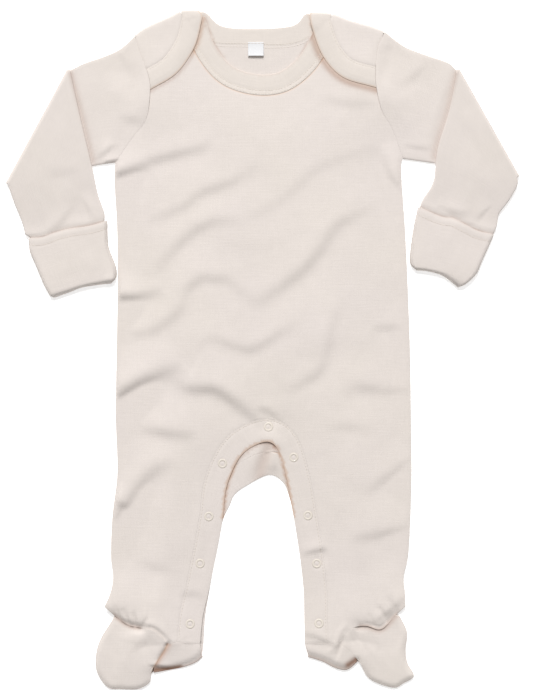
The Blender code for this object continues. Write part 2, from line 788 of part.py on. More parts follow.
def make_mitt(side, edges, cotton):
    """The fold-over mitt, a pouch that is open at its mouth and holds the sleeve's end."""
    arm = ARMS[side]
    full = 1.5 * LEVEL
    rows = [curve(arm.mouth, FINE_STEP)]
    rows += [np.array([(span.inner_x, span.inner_y), (span.outer_x, span.outer_y)]) for span in arm.mitt]
    tapers = np.interp(np.arange(len(rows)), (0, len(rows) - 2, len(rows) - 1), (1.0, 1.0, TIP_TAPER))
    rings = []
    for line, taper in zip(rows, tapers):
        half = full * taper
        inset = half + 0.5 * CLOTH
        total = lengths_along(line)[-1]
        middle = at_lengths(line, np.linspace(inset, total - inset, ACROSS_SLEEVE + 1))
        rings.append(tube_ring(middle, half, half + 0.5 * CLOTH))
    tip = curve(arm.tip, FINE_STEP)
    inset = full * tapers[-1]
    end = at_lengths(tip, np.linspace(inset, lengths_along(tip)[-1] - inset, ACROSS_SLEEVE + 1))
    down = end.mean(axis=0) - rings[-1][0][:, :2].mean(axis=0)
    down /= np.hypot(*down)
    end = end - down * 0.5 * CLOTH
    line = np.column_stack([end, np.full(len(end), full * tapers[-1] + 0.5 * CLOTH)])
    layer = tube_layer(rings, (line, np.append(down, 0.0)))
    cloth_solid(f"mitt_{side}", layer, edges, cotton)


def make_foot(side, edges, cotton):
    """The upper of the foot's toe, and the sole, which turns up round the heel."""
    foot = FEET[side]
    toe = curve(foot.toe)
    outline = outline_of(toe, curve(foot.toe_side), np.array(foot.toe_top))
    cloth_solid(f"foot_upper_{side}", flat_layer(outline, 1, TOE_STEP), edges, cotton)
    sign = -1.0 if side == "left" else 1.0
    fold = curve(foot.heel_fold)
    front = np.array([foot.trouser_end[0]] + list(foot.sole_front)) - (0.0, SOLE_GAP)
    rear = np.array([foot.heel_seam[0]])
    lower = flat_layer(outline_of(toe, fold, rear, front[::-1][:-1]), 0, PLAIN_STEP, -1.0)
    beside_toe = curve(foot.toe_side)[::-1][1:-1] - (sign * TOE_GAP, 0.0)
    lap = flat_layer(outline_of(fold, np.array(foot.heel_seam), beside_toe), 1, PANEL_STEP)
    cloth_solid(f"sole_{side}", turned_over(lower, [(lap, fold)], (sign,)), edges, cotton)


def make_label(edges, cloth):
    layer = flat_layer(np.array(LABEL_CORNERS, float), 1, PLAIN_STEP)
    lowered = Layer(layer.points - (0.0, 0.0, 0.5 * (CLOTH - LABEL_WALL)), layer.normals, layer.faces)
    cloth_solid("neck_label", lowered, edges, cloth, wall=LABEL_WALL, settled=False)


def make_popper(number, place, edges, finish):
    """A ring-shaped press fastener's cap, turned round its own axis."""
    radius, height = POPPER_RADIUS, POPPER_HEIGHT
    profile = (
        (radius - POPPER_FOOT, 0.0),
        (radius, 0.5 * height),
        (radius - POPPER_EDGE, height),
        (radius - POPPER_RING, height),
        (radius - POPPER_WELL, POPPER_FLOOR * height),
    )
    base = LEVEL * 2 + GAP + relief(np.array([place]), edges)[0]
    turns = [2 * math.pi * side / POPPER_SIDES for side in range(POPPER_SIDES)]
    points = [
        (place[0] + r * math.cos(turn), place[1] + r * math.sin(turn), base + z)
        for r, z in profile
        for turn in turns
    ]
    faces = []
    for row in range(len(profile) - 1):
        low, high = row * POPPER_SIDES, (row + 1) * POPPER_SIDES
        for i in range(POPPER_SIDES):
            j = (i + 1) % POPPER_SIDES
            faces.append((low + i, low + j, high + j, high + i))
    faces.append(tuple(reversed(range(POPPER_SIDES))))
    faces.append(tuple(range(len(points) - POPPER_SIDES, len(points))))
    solid(f"popper_{number}", points, faces, finish)


def main():
    for old in list(bpy.data.objects):
        bpy.data.objects.remove(old)
    cotton = material("cotton", COTTON, 0.9)
    band = material("cotton_band", COTTON_BAND, 0.9)
    label = material("label", LABEL_WHITE, 0.7)
    popper = material("popper", POPPER_CREAM, 0.4)
    edges = silhouette()
    shoulders = {side: Shoulder(side) for side in ARMS}
    make_back(edges, cotton, shoulders)
    make_front(edges, cotton)
    make_neck_bands(edges, band, shoulders)
    make_plackets(edges, band)
    for side in ARMS:
        make_sleeve(side, edges, cotton)
        make_mitt(side, edges, cotton)
        make_foot(side, edges, cotton)
    make_label(edges, label)
    for number, place in enumerate(POPPERS, 1):
        make_popper(number, place, edges, popper)


main()
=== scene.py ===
"""Looks of a footed baby sleepsuit with an envelope neck, laid flat on its back with the front up.

The frame has its origin in the middle of the underside, +X to the right as the suit is seen from
the front, +Y towards the neck and +Z up. Sizes here are millimetres, and meshes are made in metres.
The cloth lies in levels that are a wall and a gap apart: the back is level 0, the front is level 1,
and what is folded over the front is above it. Each cut and sewn piece is one thin closed shell.
"""

import logging
import math
from collections.abc import Iterable, Sequence
from dataclasses import dataclass, field
from enum import Enum
from typing import Any, NamedTuple

import bmesh
import bpy
import numpy as np
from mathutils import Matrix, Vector, geometry, kdtree, noise
from mathutils.bvhtree import BVHTree


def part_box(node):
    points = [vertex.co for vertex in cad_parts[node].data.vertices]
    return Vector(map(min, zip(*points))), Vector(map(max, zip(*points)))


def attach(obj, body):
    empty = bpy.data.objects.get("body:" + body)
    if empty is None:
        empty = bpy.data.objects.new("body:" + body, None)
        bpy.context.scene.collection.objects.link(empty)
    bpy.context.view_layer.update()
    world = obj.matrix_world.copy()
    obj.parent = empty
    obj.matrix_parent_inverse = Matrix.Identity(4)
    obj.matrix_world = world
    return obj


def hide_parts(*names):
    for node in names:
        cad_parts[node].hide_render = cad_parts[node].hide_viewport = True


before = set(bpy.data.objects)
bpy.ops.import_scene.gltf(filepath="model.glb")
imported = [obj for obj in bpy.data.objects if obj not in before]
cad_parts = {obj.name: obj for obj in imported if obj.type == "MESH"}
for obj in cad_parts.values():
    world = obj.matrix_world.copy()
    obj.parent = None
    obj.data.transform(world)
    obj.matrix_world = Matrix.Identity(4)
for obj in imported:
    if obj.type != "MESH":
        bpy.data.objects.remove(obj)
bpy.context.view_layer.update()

log = logging.getLogger("sleepsuit")

MM = 0.001

# Cloth and how it lies
CLOTH = 1.2
GAP = 0.3
LEVEL = CLOTH + GAP
SEAM_GAP = 0.03
HEM_RADIUS = 0.55
SEAM_RADIUS = 0.07
SEAM_REACH = 0.7
# The most painted brown shade that a point of cloth gets
DARKEST_PAINTED_SHADE = 0.9
RIM_STEPS = 3
CROWN = 3.0
CROWN_REACH = 42.0
FOLD_FADE = 2.0

# Bands, and how far the front ends below the shoulders' folds
FRONT_BAND = 18.5
LAP_BAND = 18.0
PLACKET = 21.0
SHOULDER_HEM = 4.5

# Where the folded sleeves begin beside the body, and where the body's creases end
ARM_START = 134.0
ARM_FADE = 14.0
BODY_LEFT = -145.0
BODY_RIGHT = 143.0
BODY_FADE = 5.0

# How finely lines, panels and turns are divided
LINE_STEP = 2.4
PANEL_STEP = 2.7
RAIL_STEP = 2.2
FINE_STEP = 1.2
FOOT_STEP = 1.3
FINE = 24
TOO_CLOSE = 0.25
RAIL_CLEAR = 0.4
RAIL_EDGE_CLEAR = 0.45
ROW_SHARE = 0.87  # a row's height in an even triangle grid, as a share of the spacing
GRID_CLEAR = 0.6  # from rails, as a share of the spacing
GRID_EDGE_CLEAR = 0.55
TURN_STEPS = 8

# Lines of closer points, at these distances beside an edge
LIP_RAILS = (0.8, 1.8, 3.0, 4.2, 5.5, 7.0, 8.5, 10.0, 12.0, 14.0, 16.5)
TOE_RAILS = (-3.2, -2.0, -1.0, 1.0, 2.0, 3.2, 5.0, 7.0)
HEEL_RAILS = (-2.2, -1.0, 1.0, 2.2, 3.6, 5.0)
CAP_RAILS = (0.9, 1.9, 2.7, 3.5, 4.3, 5.3)

# Rows of stitches, measured from a band's seam
NECK_ROWS = (1.3, 4.2)
LAP_ROW = 1.6
PLACKET_ROW = 1.7

Array = np.ndarray
Face = tuple[int, ...]
Triple = tuple[float, float, float]
Colour = Triple
Point = tuple[float, float]
Path = tuple[Point, ...]


class Side(Enum):
    """A side of the suit as it is seen from the front."""

    LEFT = "left"
    RIGHT = "right"

    @property
    def sign(self) -> float:
        """The direction of this side along X."""
        return -1.0 if self is Side.LEFT else 1.0


class Form(Enum):
    """How the cloth goes over a crease's path."""

    FALL = "falls from its left to its right"
    RIDGE = "stands up"
    TROUGH = "dips"


class Level(NamedTuple):
    """The outer or inner edges of the body at one height."""

    y: float
    left: float
    right: float


class Span(NamedTuple):
    """A flattened tube's two edges at one place along it."""

    inner_x: float
    inner_y: float
    outer_x: float
    outer_y: float

    def ends(self) -> tuple[Point, Point]:
        """The inner edge and the outer edge."""
        return (self.inner_x, self.inner_y), (self.outer_x, self.outer_y)


class Arm(NamedTuple):
    """The lines of one sleeve and its mitt."""

    armhole: Path
    upper: tuple[Span, ...]
    top: Point
    underarm: Point
    forearm: tuple[Span, ...]
    wrist: tuple[Span, ...]
    mitt: tuple[Span, ...]
    mouth: Path
    tip: Path


class Foot(NamedTuple):
    """The lines of one foot."""

    trouser_end: Path
    joint: Point
    toe: Path
    toe_side: Path
    heel_fold: Path
    sole_front: Path


# The outer edges of the body and the trouser legs, from the underarms to the ankles
SIDES = (
    Level(168, -132.5, 124.8), Level(150, -133, 125.2), Level(110, -130.8, 128),
    Level(60, -130.2, 130.4), Level(0, -131.2, 132.6), Level(-60, -132, 133.5),
    Level(-110, -130.5, 134), Level(-150, -135, 133), Level(-185, -136.3, 131),
    Level(-204, -134.3, 127), Level(-218, -136.5, 128), Level(-231, -142, 128.5),
)

# The inner edges of the two legs, from the crotch down to the ankles
INSEAMS = (
    Level(-175, -39.8, 32), Level(-197, -44.3, 35), Level(-218, -48, 37),
    Level(-240, -51.5, 37.5), Level(-264.5, -53.1, 38),
)

# How far the front's edge lies inside the back's at the left ankle, and where that starts
ANKLE_INSET = 3.0
INSET_TOP = -205.0
INSET_LENGTH = 55.0

# The crotch arches between the legs, from left to right
FRONT_ARCH: Path = (
    (-35.5, -150), (-32.5, -125), (-24, -103), (-13, -90), (5, -83), (15, -93),
    (22.5, -120), (28, -150),
)
BACK_ARCH: Path = (
    (-35.5, -153), (-29, -139), (-25.8, -131.5), (-17.5, -124.5), (5, -113), (18, -119),
    (24, -132), (28, -150),
)

# The crotch's part of the front's free edge is above this
ARCH_FOOT = -152.0

# Necklines, from left to right
FRONT_NECK: Path = (
    (-52, 299), (-49, 290), (-42.5, 273), (-27.5, 255), (-6, 247.5), (14, 249),
    (30, 260.5), (41, 276), (50, 297),
)
BACK_NECK: Path = (
    (-55.6, 304.4), (-49.5, 302), (-36.5, 291), (-8, 288.6), (26.5, 291.2), (37.6, 301.2),
    (42.2, 302.6),
)
BACK_SEAM: Path = (
    (-73, 302.4), (-62, 287), (-43, 275.5), (-20, 274), (22, 273.5), (44.5, 282),
    (62, 299.8),
)

# The shoulders' folds, where the back turns over onto the front, from left to right
SHOULDERS: dict[Side, Path] = {
    Side.LEFT: ((-115.7, 282.2), (-105, 289.8), (-83, 299.8), (-72, 304.9), (-54, 305.5)),
    Side.RIGHT: ((41, 303.8), (62, 302.2), (78, 296.4), (97, 291), (110, 286)),
}

# The laps' free edges, from the shoulder's tip to the armhole
LAPS: dict[Side, Path] = {
    Side.LEFT: (
        (-56.6, 304), (-54.4, 301), (-55, 294), (-61.5, 271), (-77.5, 248), (-101.2, 233.2),
    ),
    Side.RIGHT: (
        (42.8, 302.4), (42.6, 299), (44.9, 288), (54.5, 263.3), (72.5, 244.5), (102.6, 235.2),
    ),
}

ARMS: dict[Side, Arm] = {
    Side.LEFT: Arm(
        armhole=(
            (-115.2, 282.4), (-108.5, 263), (-102.5, 246), (-101, 232), (-104.5, 207),
            (-117, 190), (-132, 168.5),
        ),
        upper=(
            Span(-126.5, 271.4, -150, 165.5), Span(-141, 264.2, -175, 160.5),
            Span(-160, 257.6, -203, 155),
        ),
        top=(-175.4, 252.6),
        underarm=(-231.2, 149.5),
        forearm=(
            Span(-163, 206, -223.6, 133), Span(-153.5, 166, -217.5, 118),
            Span(-148, 140, -214, 107), Span(-142, 122.5, -213.4, 103.5),
        ),
        wrist=(Span(-142.8, 112, -208, 99), Span(-143.5, 98, -203.5, 84.5)),
        mitt=(
            Span(-139.2, 103, -209.2, 88), Span(-138, 91, -204.4, 77),
            Span(-132.2, 75, -196.4, 58.5), Span(-131.4, 67, -192.6, 51.5),
        ),
        mouth=(
            (-139.3, 116), (-155, 111.3), (-174, 108.5), (-187, 105), (-198, 101),
            (-210.6, 100.4),
        ),
        tip=((-133.8, 59.2), (-144, 58.4), (-162, 55.6), (-173, 51.4), (-189.6, 45.6)),
    ),
    Side.RIGHT: Arm(
        armhole=(
            (110.2, 286.2), (103.5, 271), (101.8, 254), (102.3, 236), (107.5, 214),
            (116.5, 198.5), (126.5, 171.5),
        ),
        upper=(
            Span(119.5, 278.2, 150, 168.1), Span(130.5, 271.2, 172, 164.9),
            Span(149, 264.2, 200, 160.7), Span(166.5, 258.2, 219, 157.8),
        ),
        top=(177, 252.6),
        underarm=(231.4, 155.8),
        forearm=(
            Span(167.5, 215, 229, 147.5), Span(157, 180, 222, 134.5),
            Span(153.8, 152, 212.8, 122), Span(143.8, 134.6, 211, 113),
        ),
        wrist=(Span(141.4, 126.5, 208, 104.5), Span(139.8, 110, 199.5, 89)),
        mitt=(
            Span(136, 111, 204.2, 94), Span(133.2, 90, 197.8, 80.5),
            Span(132.8, 78.5, 191.8, 67.5),
        ),
        mouth=(
            (139.8, 128.5), (160.5, 119.5), (171, 118), (183, 112), (194, 106.5),
            (208.2, 103.5),
        ),
        tip=((136, 71), (147, 70.4), (160, 67), (168, 62), (177.4, 54.2)),
    ),
}

FEET: dict[Side, Foot] = {
    Side.LEFT: Foot(
        trouser_end=((-133, -239.5), (-119, -248.6), (-98, -252), (-85, -263.5)),
        joint=(-110, -250.4),
        toe=(
            (-134, -241.5), (-146, -261), (-150, -277), (-148.5, -291), (-139, -304),
            (-127, -305.5), (-112, -305.5), (-101.5, -299.5), (-100.5, -292),
        ),
        toe_side=((-98, -286), (-92.5, -277), (-88.3, -270.5), (-85.4, -264.6)),
        heel_fold=((-98, -289.4), (-86, -287.2), (-70, -284), (-60, -280), (-54.4, -275)),
        sole_front=((-110, -251.5), (-90, -257)),
    ),
    Side.RIGHT: Foot(
        trouser_end=((121, -238), (107, -251.5), (93, -248.5), (80, -250.5), (68.5, -262.5)),
        joint=(88, -248.4),
        toe=(
            (124, -240.5), (130, -254), (128.8, -270), (130.5, -282), (136.2, -293.5),
            (127, -300.2), (117, -304.2), (96.5, -296.4), (87.5, -281.5),
        ),
        toe_side=((85.5, -279), (80, -272), (73.5, -267), (68.8, -263.4)),
        heel_fold=((84.5, -279.8), (76, -286.8), (66, -285.3), (55, -279.7), (41, -275.2)),
        sole_front=((105, -250), (84, -256)),
    ),
}


# The fasteners' numbers
CAPS = range(1, 10)


# Lines: arrays of rows, each a point or a whole row of points


def divided(rows: Array, step: float) -> Array:
    """Spaces rows evenly.

    Args:
        rows: Points, or rows of points, one after the other.
        step: The wanted distance between two of them.

    Returns:
        The same path with rows about that far apart.
    """
    flat = rows.reshape(len(rows), -1)
    points = rows.reshape(len(rows), -1, rows.shape[-1])
    gaps = np.linalg.norm(np.diff(points, axis=0), axis=2).mean(axis=1)
    along = np.concatenate([[0.0], np.cumsum(gaps)])
    count = max(2, round(along[-1] / step) + 1)
    wanted = np.linspace(0.0, along[-1], count)
    made = np.column_stack([np.interp(wanted, along, column) for column in flat.T])
    return made.reshape(count, *rows.shape[1:])


def spline(known: Sequence[Any] | Array, step: float = LINE_STEP) -> Array:
    """Draws a Catmull-Rom curve through points, or through rows of points.

    Args:
        known: The points or rows that it goes through.
        step: The distance between two of the result's rows.

    Returns:
        The curve's points or rows.
    """
    rows = np.asarray(known, float)
    flat = rows.reshape(len(rows), -1)
    ends = np.vstack([2 * flat[0] - flat[1], flat, 2 * flat[-1] - flat[-2]])
    t = (np.arange(FINE) / FINE)[:, None]
    parts = [
        0.5 * (2 * b + (c - a) * t + (2 * a - 5 * b + 4 * c - d) * t**2 + (3 * b - a - 3 * c + d) * t**3)
        for a, b, c, d in zip(ends, ends[1:], ends[2:], ends[3:])
    ]
    fine = np.vstack([*parts, flat[-1:]])
    return divided(fine.reshape(-1, *rows.shape[1:]), step)


def at_height(flat: Array, height: Any) -> Array:
    """Places (x, y) as points at one height, or each at its own."""
    return np.column_stack([flat, np.broadcast_to(height, len(flat))])


def left_normals(line: Array) -> Array:
    """Finds the direction to a line's left.

    Args:
        line: The points (x, y) of a line.

    Returns:
        A unit vector for each of its points.
    """
    slope = np.gradient(line, axis=0)
    slope /= np.hypot(slope[:, 0], slope[:, 1])[:, None]
    return np.column_stack([-slope[:, 1], slope[:, 0]])


def beside(line: Array, distance: float) -> Array:
    """The line moved this far to its left, or to its right if the distance is negative."""
    return line + left_normals(line) * distance


def smooth_step(value: Array) -> Array:
    """0 below 0, 1 above 1, and a soft change between them."""
    value = np.clip(value, 0.0, 1.0)
    return value * value * (3.0 - 2.0 * value)


def bell(away: Array, width: float | Array) -> Array:
    """1 at no distance, and a soft fall to 0 beyond this width."""
    return np.exp(-((away / width) ** 2))


def lift_of(parts: Iterable[Any], points: Array) -> Array:
    """How far creases, mounds or marks together lift each point."""
    return sum((part.lift(points) for part in parts), np.zeros(len(points)))


def grid_faces(rows: int, columns: int, ring: bool = False, loop: bool = False) -> list[Face]:
    """Makes the faces between rows of points that are numbered one row after the other.

    Args:
        rows: How many rows there are.
        columns: How many points a row has.
        ring: Whether each row is closed.
        loop: Whether the last row joins the first.

    Returns:
        The faces, all turned the same way.
    """
    faces: list[Face] = []
    for row in range(rows if loop else rows - 1):
        low, high = row * columns, (row + 1) % rows * columns
        faces += [
            (low + i, low + (i + 1) % columns, high + (i + 1) % columns, high + i)
            for i in range(columns if ring else columns - 1)
        ]
    return faces


def outline_of(*lines: Array) -> Array:
    """Joins lines to one closed outline.

    Args:
        *lines: The lines in order, end to end.

    Returns:
        The outline's points, without those that nearly coincide.
    """
    points = np.vstack(lines)
    kept = [points[0]]
    for point in points[1:]:
        if min(np.hypot(*(point - kept[-1])), np.hypot(*(point - points[0]))) > TOO_CLOSE:
            kept.append(point)
    return np.array(kept)


def inside(points: Array, outline: Array) -> Array:
    """Finds which points an outline encloses.

    Args:
        points: Places (x, y).
        outline: A closed outline.

    Returns:
        True for each point with an odd number of the outline's edges to its right.
    """
    a, b = outline, np.roll(outline, -1, axis=0)
    x, y = points[:, 0, None], points[:, 1, None]
    crosses = (a[:, 1] > y) != (b[:, 1] > y)
    with np.errstate(divide="ignore", invalid="ignore"):
        at_x = a[:, 0] + (y - a[:, 1]) * (b[:, 0] - a[:, 0]) / (b[:, 1] - a[:, 1])
    return (crosses & (x < at_x)).sum(axis=1) % 2 == 1


class Nearness:
    """Tells how far points are from a line."""

    def __init__(self, line: Array) -> None:
        """Keeps the line's points in a tree.

        Args:
            line: The line's points (x, y).
        """
        self.tree = kdtree.KDTree(len(line))
        for number, (x, y) in enumerate(line):
            self.tree.insert((x, y, 0.0), number)
        self.tree.balance()

    def of(self, points: Array) -> tuple[Array, Array]:
        """Finds the nearest of the line's points to each point.

        Args:
            points: Places (x, y) or (x, y, z), whose z is left out.

        Returns:
            The distances, and the numbers of the line's points.
        """
        found = [self.tree.find((x, y, 0.0)) for x, y in points[:, :2]]
        return np.array([away for _, _, away in found]), np.array([number for _, number, _ in found])


def distance(points: Array, line: Array, step: float = 0.0) -> Array:
    """How far points are from a line, which is first divided this finely if a step is given."""
    return Nearness(divided(line, step) if step else line).of(points)[0]


# How the cloth lies


@dataclass(frozen=True)
class Crease:
    """A soft crease along a path, which fades towards both ends."""

    path: Path
    height: float
    width: float
    form: Form = Form.FALL

    def lift(self, points: Array) -> Array:
        """Works out the crease's height.

        Args:
            points: Places (x, y).

        Returns:
            How far the cloth goes up or down at each place.
        """
        line = spline(self.path, 2.0)
        result = np.zeros(len(points))
        reach = 5.0 * self.width
        near = ((points > line.min(axis=0) - reach) & (points < line.max(axis=0) + reach)).all(axis=1)
        if not near.any():
            return result
        away = points[near, None, :] - line[None, :, :]
        number = np.hypot(away[..., 0], away[..., 1]).argmin(axis=1)
        offset = away[np.arange(len(number)), number]
        normal = left_normals(line)[number]
        across = (offset * normal).sum(axis=1)
        along = (offset[:, 0] * normal[:, 1] - offset[:, 1] * normal[:, 0]) / 2.0
        share = np.clip((number + along) / (len(line) - 1), 0.0, 1.0)
        taper = np.sin(math.pi * share) ** 0.8
        value = across / self.width
        if self.form is Form.FALL:
            shape = 1.65 * value / (1.0 + value**2) * bell(value, 3.2)
        else:
            shape = bell(value, 1.0) * (1.0 if self.form is Form.RIDGE else -1.0)
        result[near] = self.height * shape * taper
        return result


@dataclass(frozen=True)
class Mound:
    """A round rise of the cloth."""

    x: float
    y: float
    height: float
    radius: float

    def lift(self, points: Array) -> Array:
        """How far the cloth stands up at each point."""
        away = np.hypot(points[:, 0] - self.x, points[:, 1] - self.y)
        return self.height * bell(away, self.radius)


FRONT_CREASES = (
    Crease(((-122, 158), (-104, 167), (-88, 172), (-65, 178), (-42, 184)), 1.5, 7.5),
    Crease(((-166, 144), (-133, 154), (-120, 158), (-100, 165)), 2.7, 8.5),
    Crease(((-164, 137), (-133, 147), (-116, 155)), 2.0, 5.0),
    Crease(((-118, 150), (-120, 121), (-123, 91)), 0.7, 3.5, Form.TROUGH),
    Crease(((-108, 113), (-92, 119), (-71, 128), (-55, 140), (-38, 146), (-24, 152), (0, 168)), 1.1, 7.5),
    Crease(((-101, 63), (-92, 73), (-82, 86), (-67, 101), (-54, 110), (-39, 115), (-16, 116)), 1.4, 8.5),
    Crease(((-20, 113), (0, 124), (20, 136), (52, 163), (99, 181)), 0.6, 8.0),
    Crease(
        (
            (-140, 13), (-108, 14), (-90, 21), (-74, 35), (-67, 53),
            (-55, 63), (-43, 63), (-32, 62), (-20, 52), (-4, 43),
        ), 1.3, 8.0,
    ),
    Crease(((-17, 47), (-4, 43), (11, 51), (36, 70), (50, 86), (66, 109), (81, 119), (100, 130)), 1.7, 9.0),
    Crease(((-166, 40), (-129, 45), (-114, 46), (-88, 53)), 1.9, 7.0),
    Crease(((-162, 33), (-132, 38), (-104, 43)), 1.2, 7.0),
    Crease(((-172, -66), (-137, -46), (-119, -35), (-98, -22)), 2.2, 11.0),
    Crease(((-170, 146), (-134, 157), (-112, 164)), 1.8, 8.0),
    Crease(((-168, -184), (-134, -152), (-116, -128)), 2.0, 11.0),
    Crease(((-170, 38), (-134, 45), (-108, 48)), 1.6, 9.0),
    Crease(((-58, -2), (-51, 7), (-43, 9), (-24, 2), (-9, 0), (11, 11), (34, 25)), 1.0, 7.0),
    Crease(((19, -40), (36, -31), (53, -18), (59, 4), (64, 27), (71, 46)), 1.3, 7.5),
    Crease(((-160, -61), (-131, -47), (-116, -37), (-102, -28), (-72, -13)), 3.1, 10.0),
    Crease(((-80, -22), (-69, -35), (-44, -37), (-27, -47), (-12, -59), (4, -71)), 2.4, 8.5),
    Crease(((106, 184), (112, 160), (123, 142), (134, 124)), 1.8, 6.5),
    Crease(((72, -40), (88, -36), (106, -37)), 0.7, 8.0),
    Crease(((-116, -70), (-85, -76), (-58, -77)), 1.5, 8.0),
    Crease(((-148, -172), (-128, -153), (-115, -130), (-100, -112), (-80, -98)), 2.7, 10.0),
    Crease(((36, -186), (45, -183), (59, -179)), 1.8, 4.5),
    Crease(((76, -171), (104, -167), (131, -162), (144, -159)), 1.2, 7.5),
    Crease(((86, -133), (110, -117), (130, -102), (142, -93)), 1.1, 8.0),
    Crease(((-6, -53), (4, -55), (17, -65)), 1.1, 4.5),
    Crease(((76, -27), (101, -36), (129, -40), (142, -42)), 0.8, 8.0),
    Crease(((99, 21), (113, 19), (127, 20)), 0.7, 6.0),
    Crease(((52, 225), (74, 221), (104, 221)), 0.7, 7.0),
    Crease(((-67, -79), (-64, -104), (-61, -135), (-63, -171)), 0.6, 6.0, Form.TROUGH),
    Crease(((-76, -222), (-63, -220), (-51, -224)), 0.6, 5.0),
    Crease(((54, -72), (74, -70), (99, -72)), 0.5, 7.0),
    Crease(((-110, -189), (-99, -195), (-83, -198)), 0.5, 7.0),
    Crease(((-142, -128), (-130, -138), (-110, -147)), 1.2, 5.0),
    Crease(((-64, 118), (-40, 100), (-12, 92), (18, 96)), 0.4, 14.0),
    Crease(((10, -8), (40, -2), (84, 6), (116, 2)), 0.5, 15.0),
    Crease(((-88, -200), (-84, -160), (-90, -120)), 0.5, 12.0, Form.RIDGE),
    Crease(((82, -220), (86, -180), (80, -130)), 0.6, 13.0, Form.RIDGE),
)
SLEEVE_CREASES = (
    Crease(((-135, 268), (-126, 259), (-116, 244)), 0.8, 7.0),
    Crease(((-197, 156), (-180, 159), (-153, 160)), 0.5, 7.0),
    Crease(((-164, 138), (-159, 129), (-153, 116)), 1.0, 4.5),
    Crease(((-193, 106), (-180, 115), (-171, 129)), 0.9, 4.5),
    Crease(((-150, 169), (-141, 177), (-132, 185)), 1.0, 4.0),
    Crease(((-130, 210), (-117, 206), (-104, 204)), 0.7, 6.0),
    Crease(((113, 273), (111, 259), (109, 237)), 1.1, 5.5, Form.TROUGH),
    Crease(((122, 234), (135, 244), (153, 257)), 0.9, 7.0),
    Crease(((127, 183), (138, 180), (153, 180)), 0.9, 5.0),
    Crease(((156, 129), (169, 124), (187, 120)), 1.0, 4.5),
    Crease(((192, 115), (199, 122), (208, 129)), 0.9, 4.0),
    Crease(((176, 212), (190, 190), (196, 165)), 0.6, 9.0),
    Crease(((149, 160), (156, 198), (165, 230), (175, 258)), 0.9, 3.2),
    Crease(((-176, 262), (-166, 222), (-156, 184), (-149, 160)), 0.7, 4.0),
)
BACK_CREASES = (
    Crease(((-110, 150), (-60, 128), (-12, 118), (40, 126)), 1.2, 12.0, Form.RIDGE),
    Crease(((104, 96), (60, 70), (14, 52), (-38, 60)), 1.3, 13.0, Form.RIDGE),
    Crease(((-112, 20), (-66, 2), (-20, -6)), 1.1, 11.0, Form.RIDGE),
    Crease(((112, -20), (70, -40), (30, -60)), 1.2, 12.0, Form.RIDGE),
    Crease(((-108, -130), (-92, -170), (-96, -214)), 1.0, 10.0, Form.RIDGE),
    Crease(((98, -110), (84, -160), (90, -210)), 1.0, 10.0, Form.RIDGE),
    Crease(((-60, 220), (-14, 206), (44, 214)), 0.9, 14.0, Form.RIDGE),
)
CROTCH_CREASES = (
    Crease(((6, -84), (3, -94), (-1, -108), (-2, -120)), 2.2, 4.5, Form.TROUGH),
    Crease(((12, -86), (10, -98), (9, -112)), 0.9, 3.0, Form.RIDGE),
)
CROTCH_MOUND = Mound(4.0, -98.0, 1.9, 20.0)
MOUNDS = (
    Mound(11.0, -83.0, 1.0, 9.0),
    Mound(3.0, -79.0, 0.9, 13.0),
    Mound(44.0, 296.0, 0.8, 9.0),
    Mound(-55.0, 298.0, 0.7, 9.0),
)


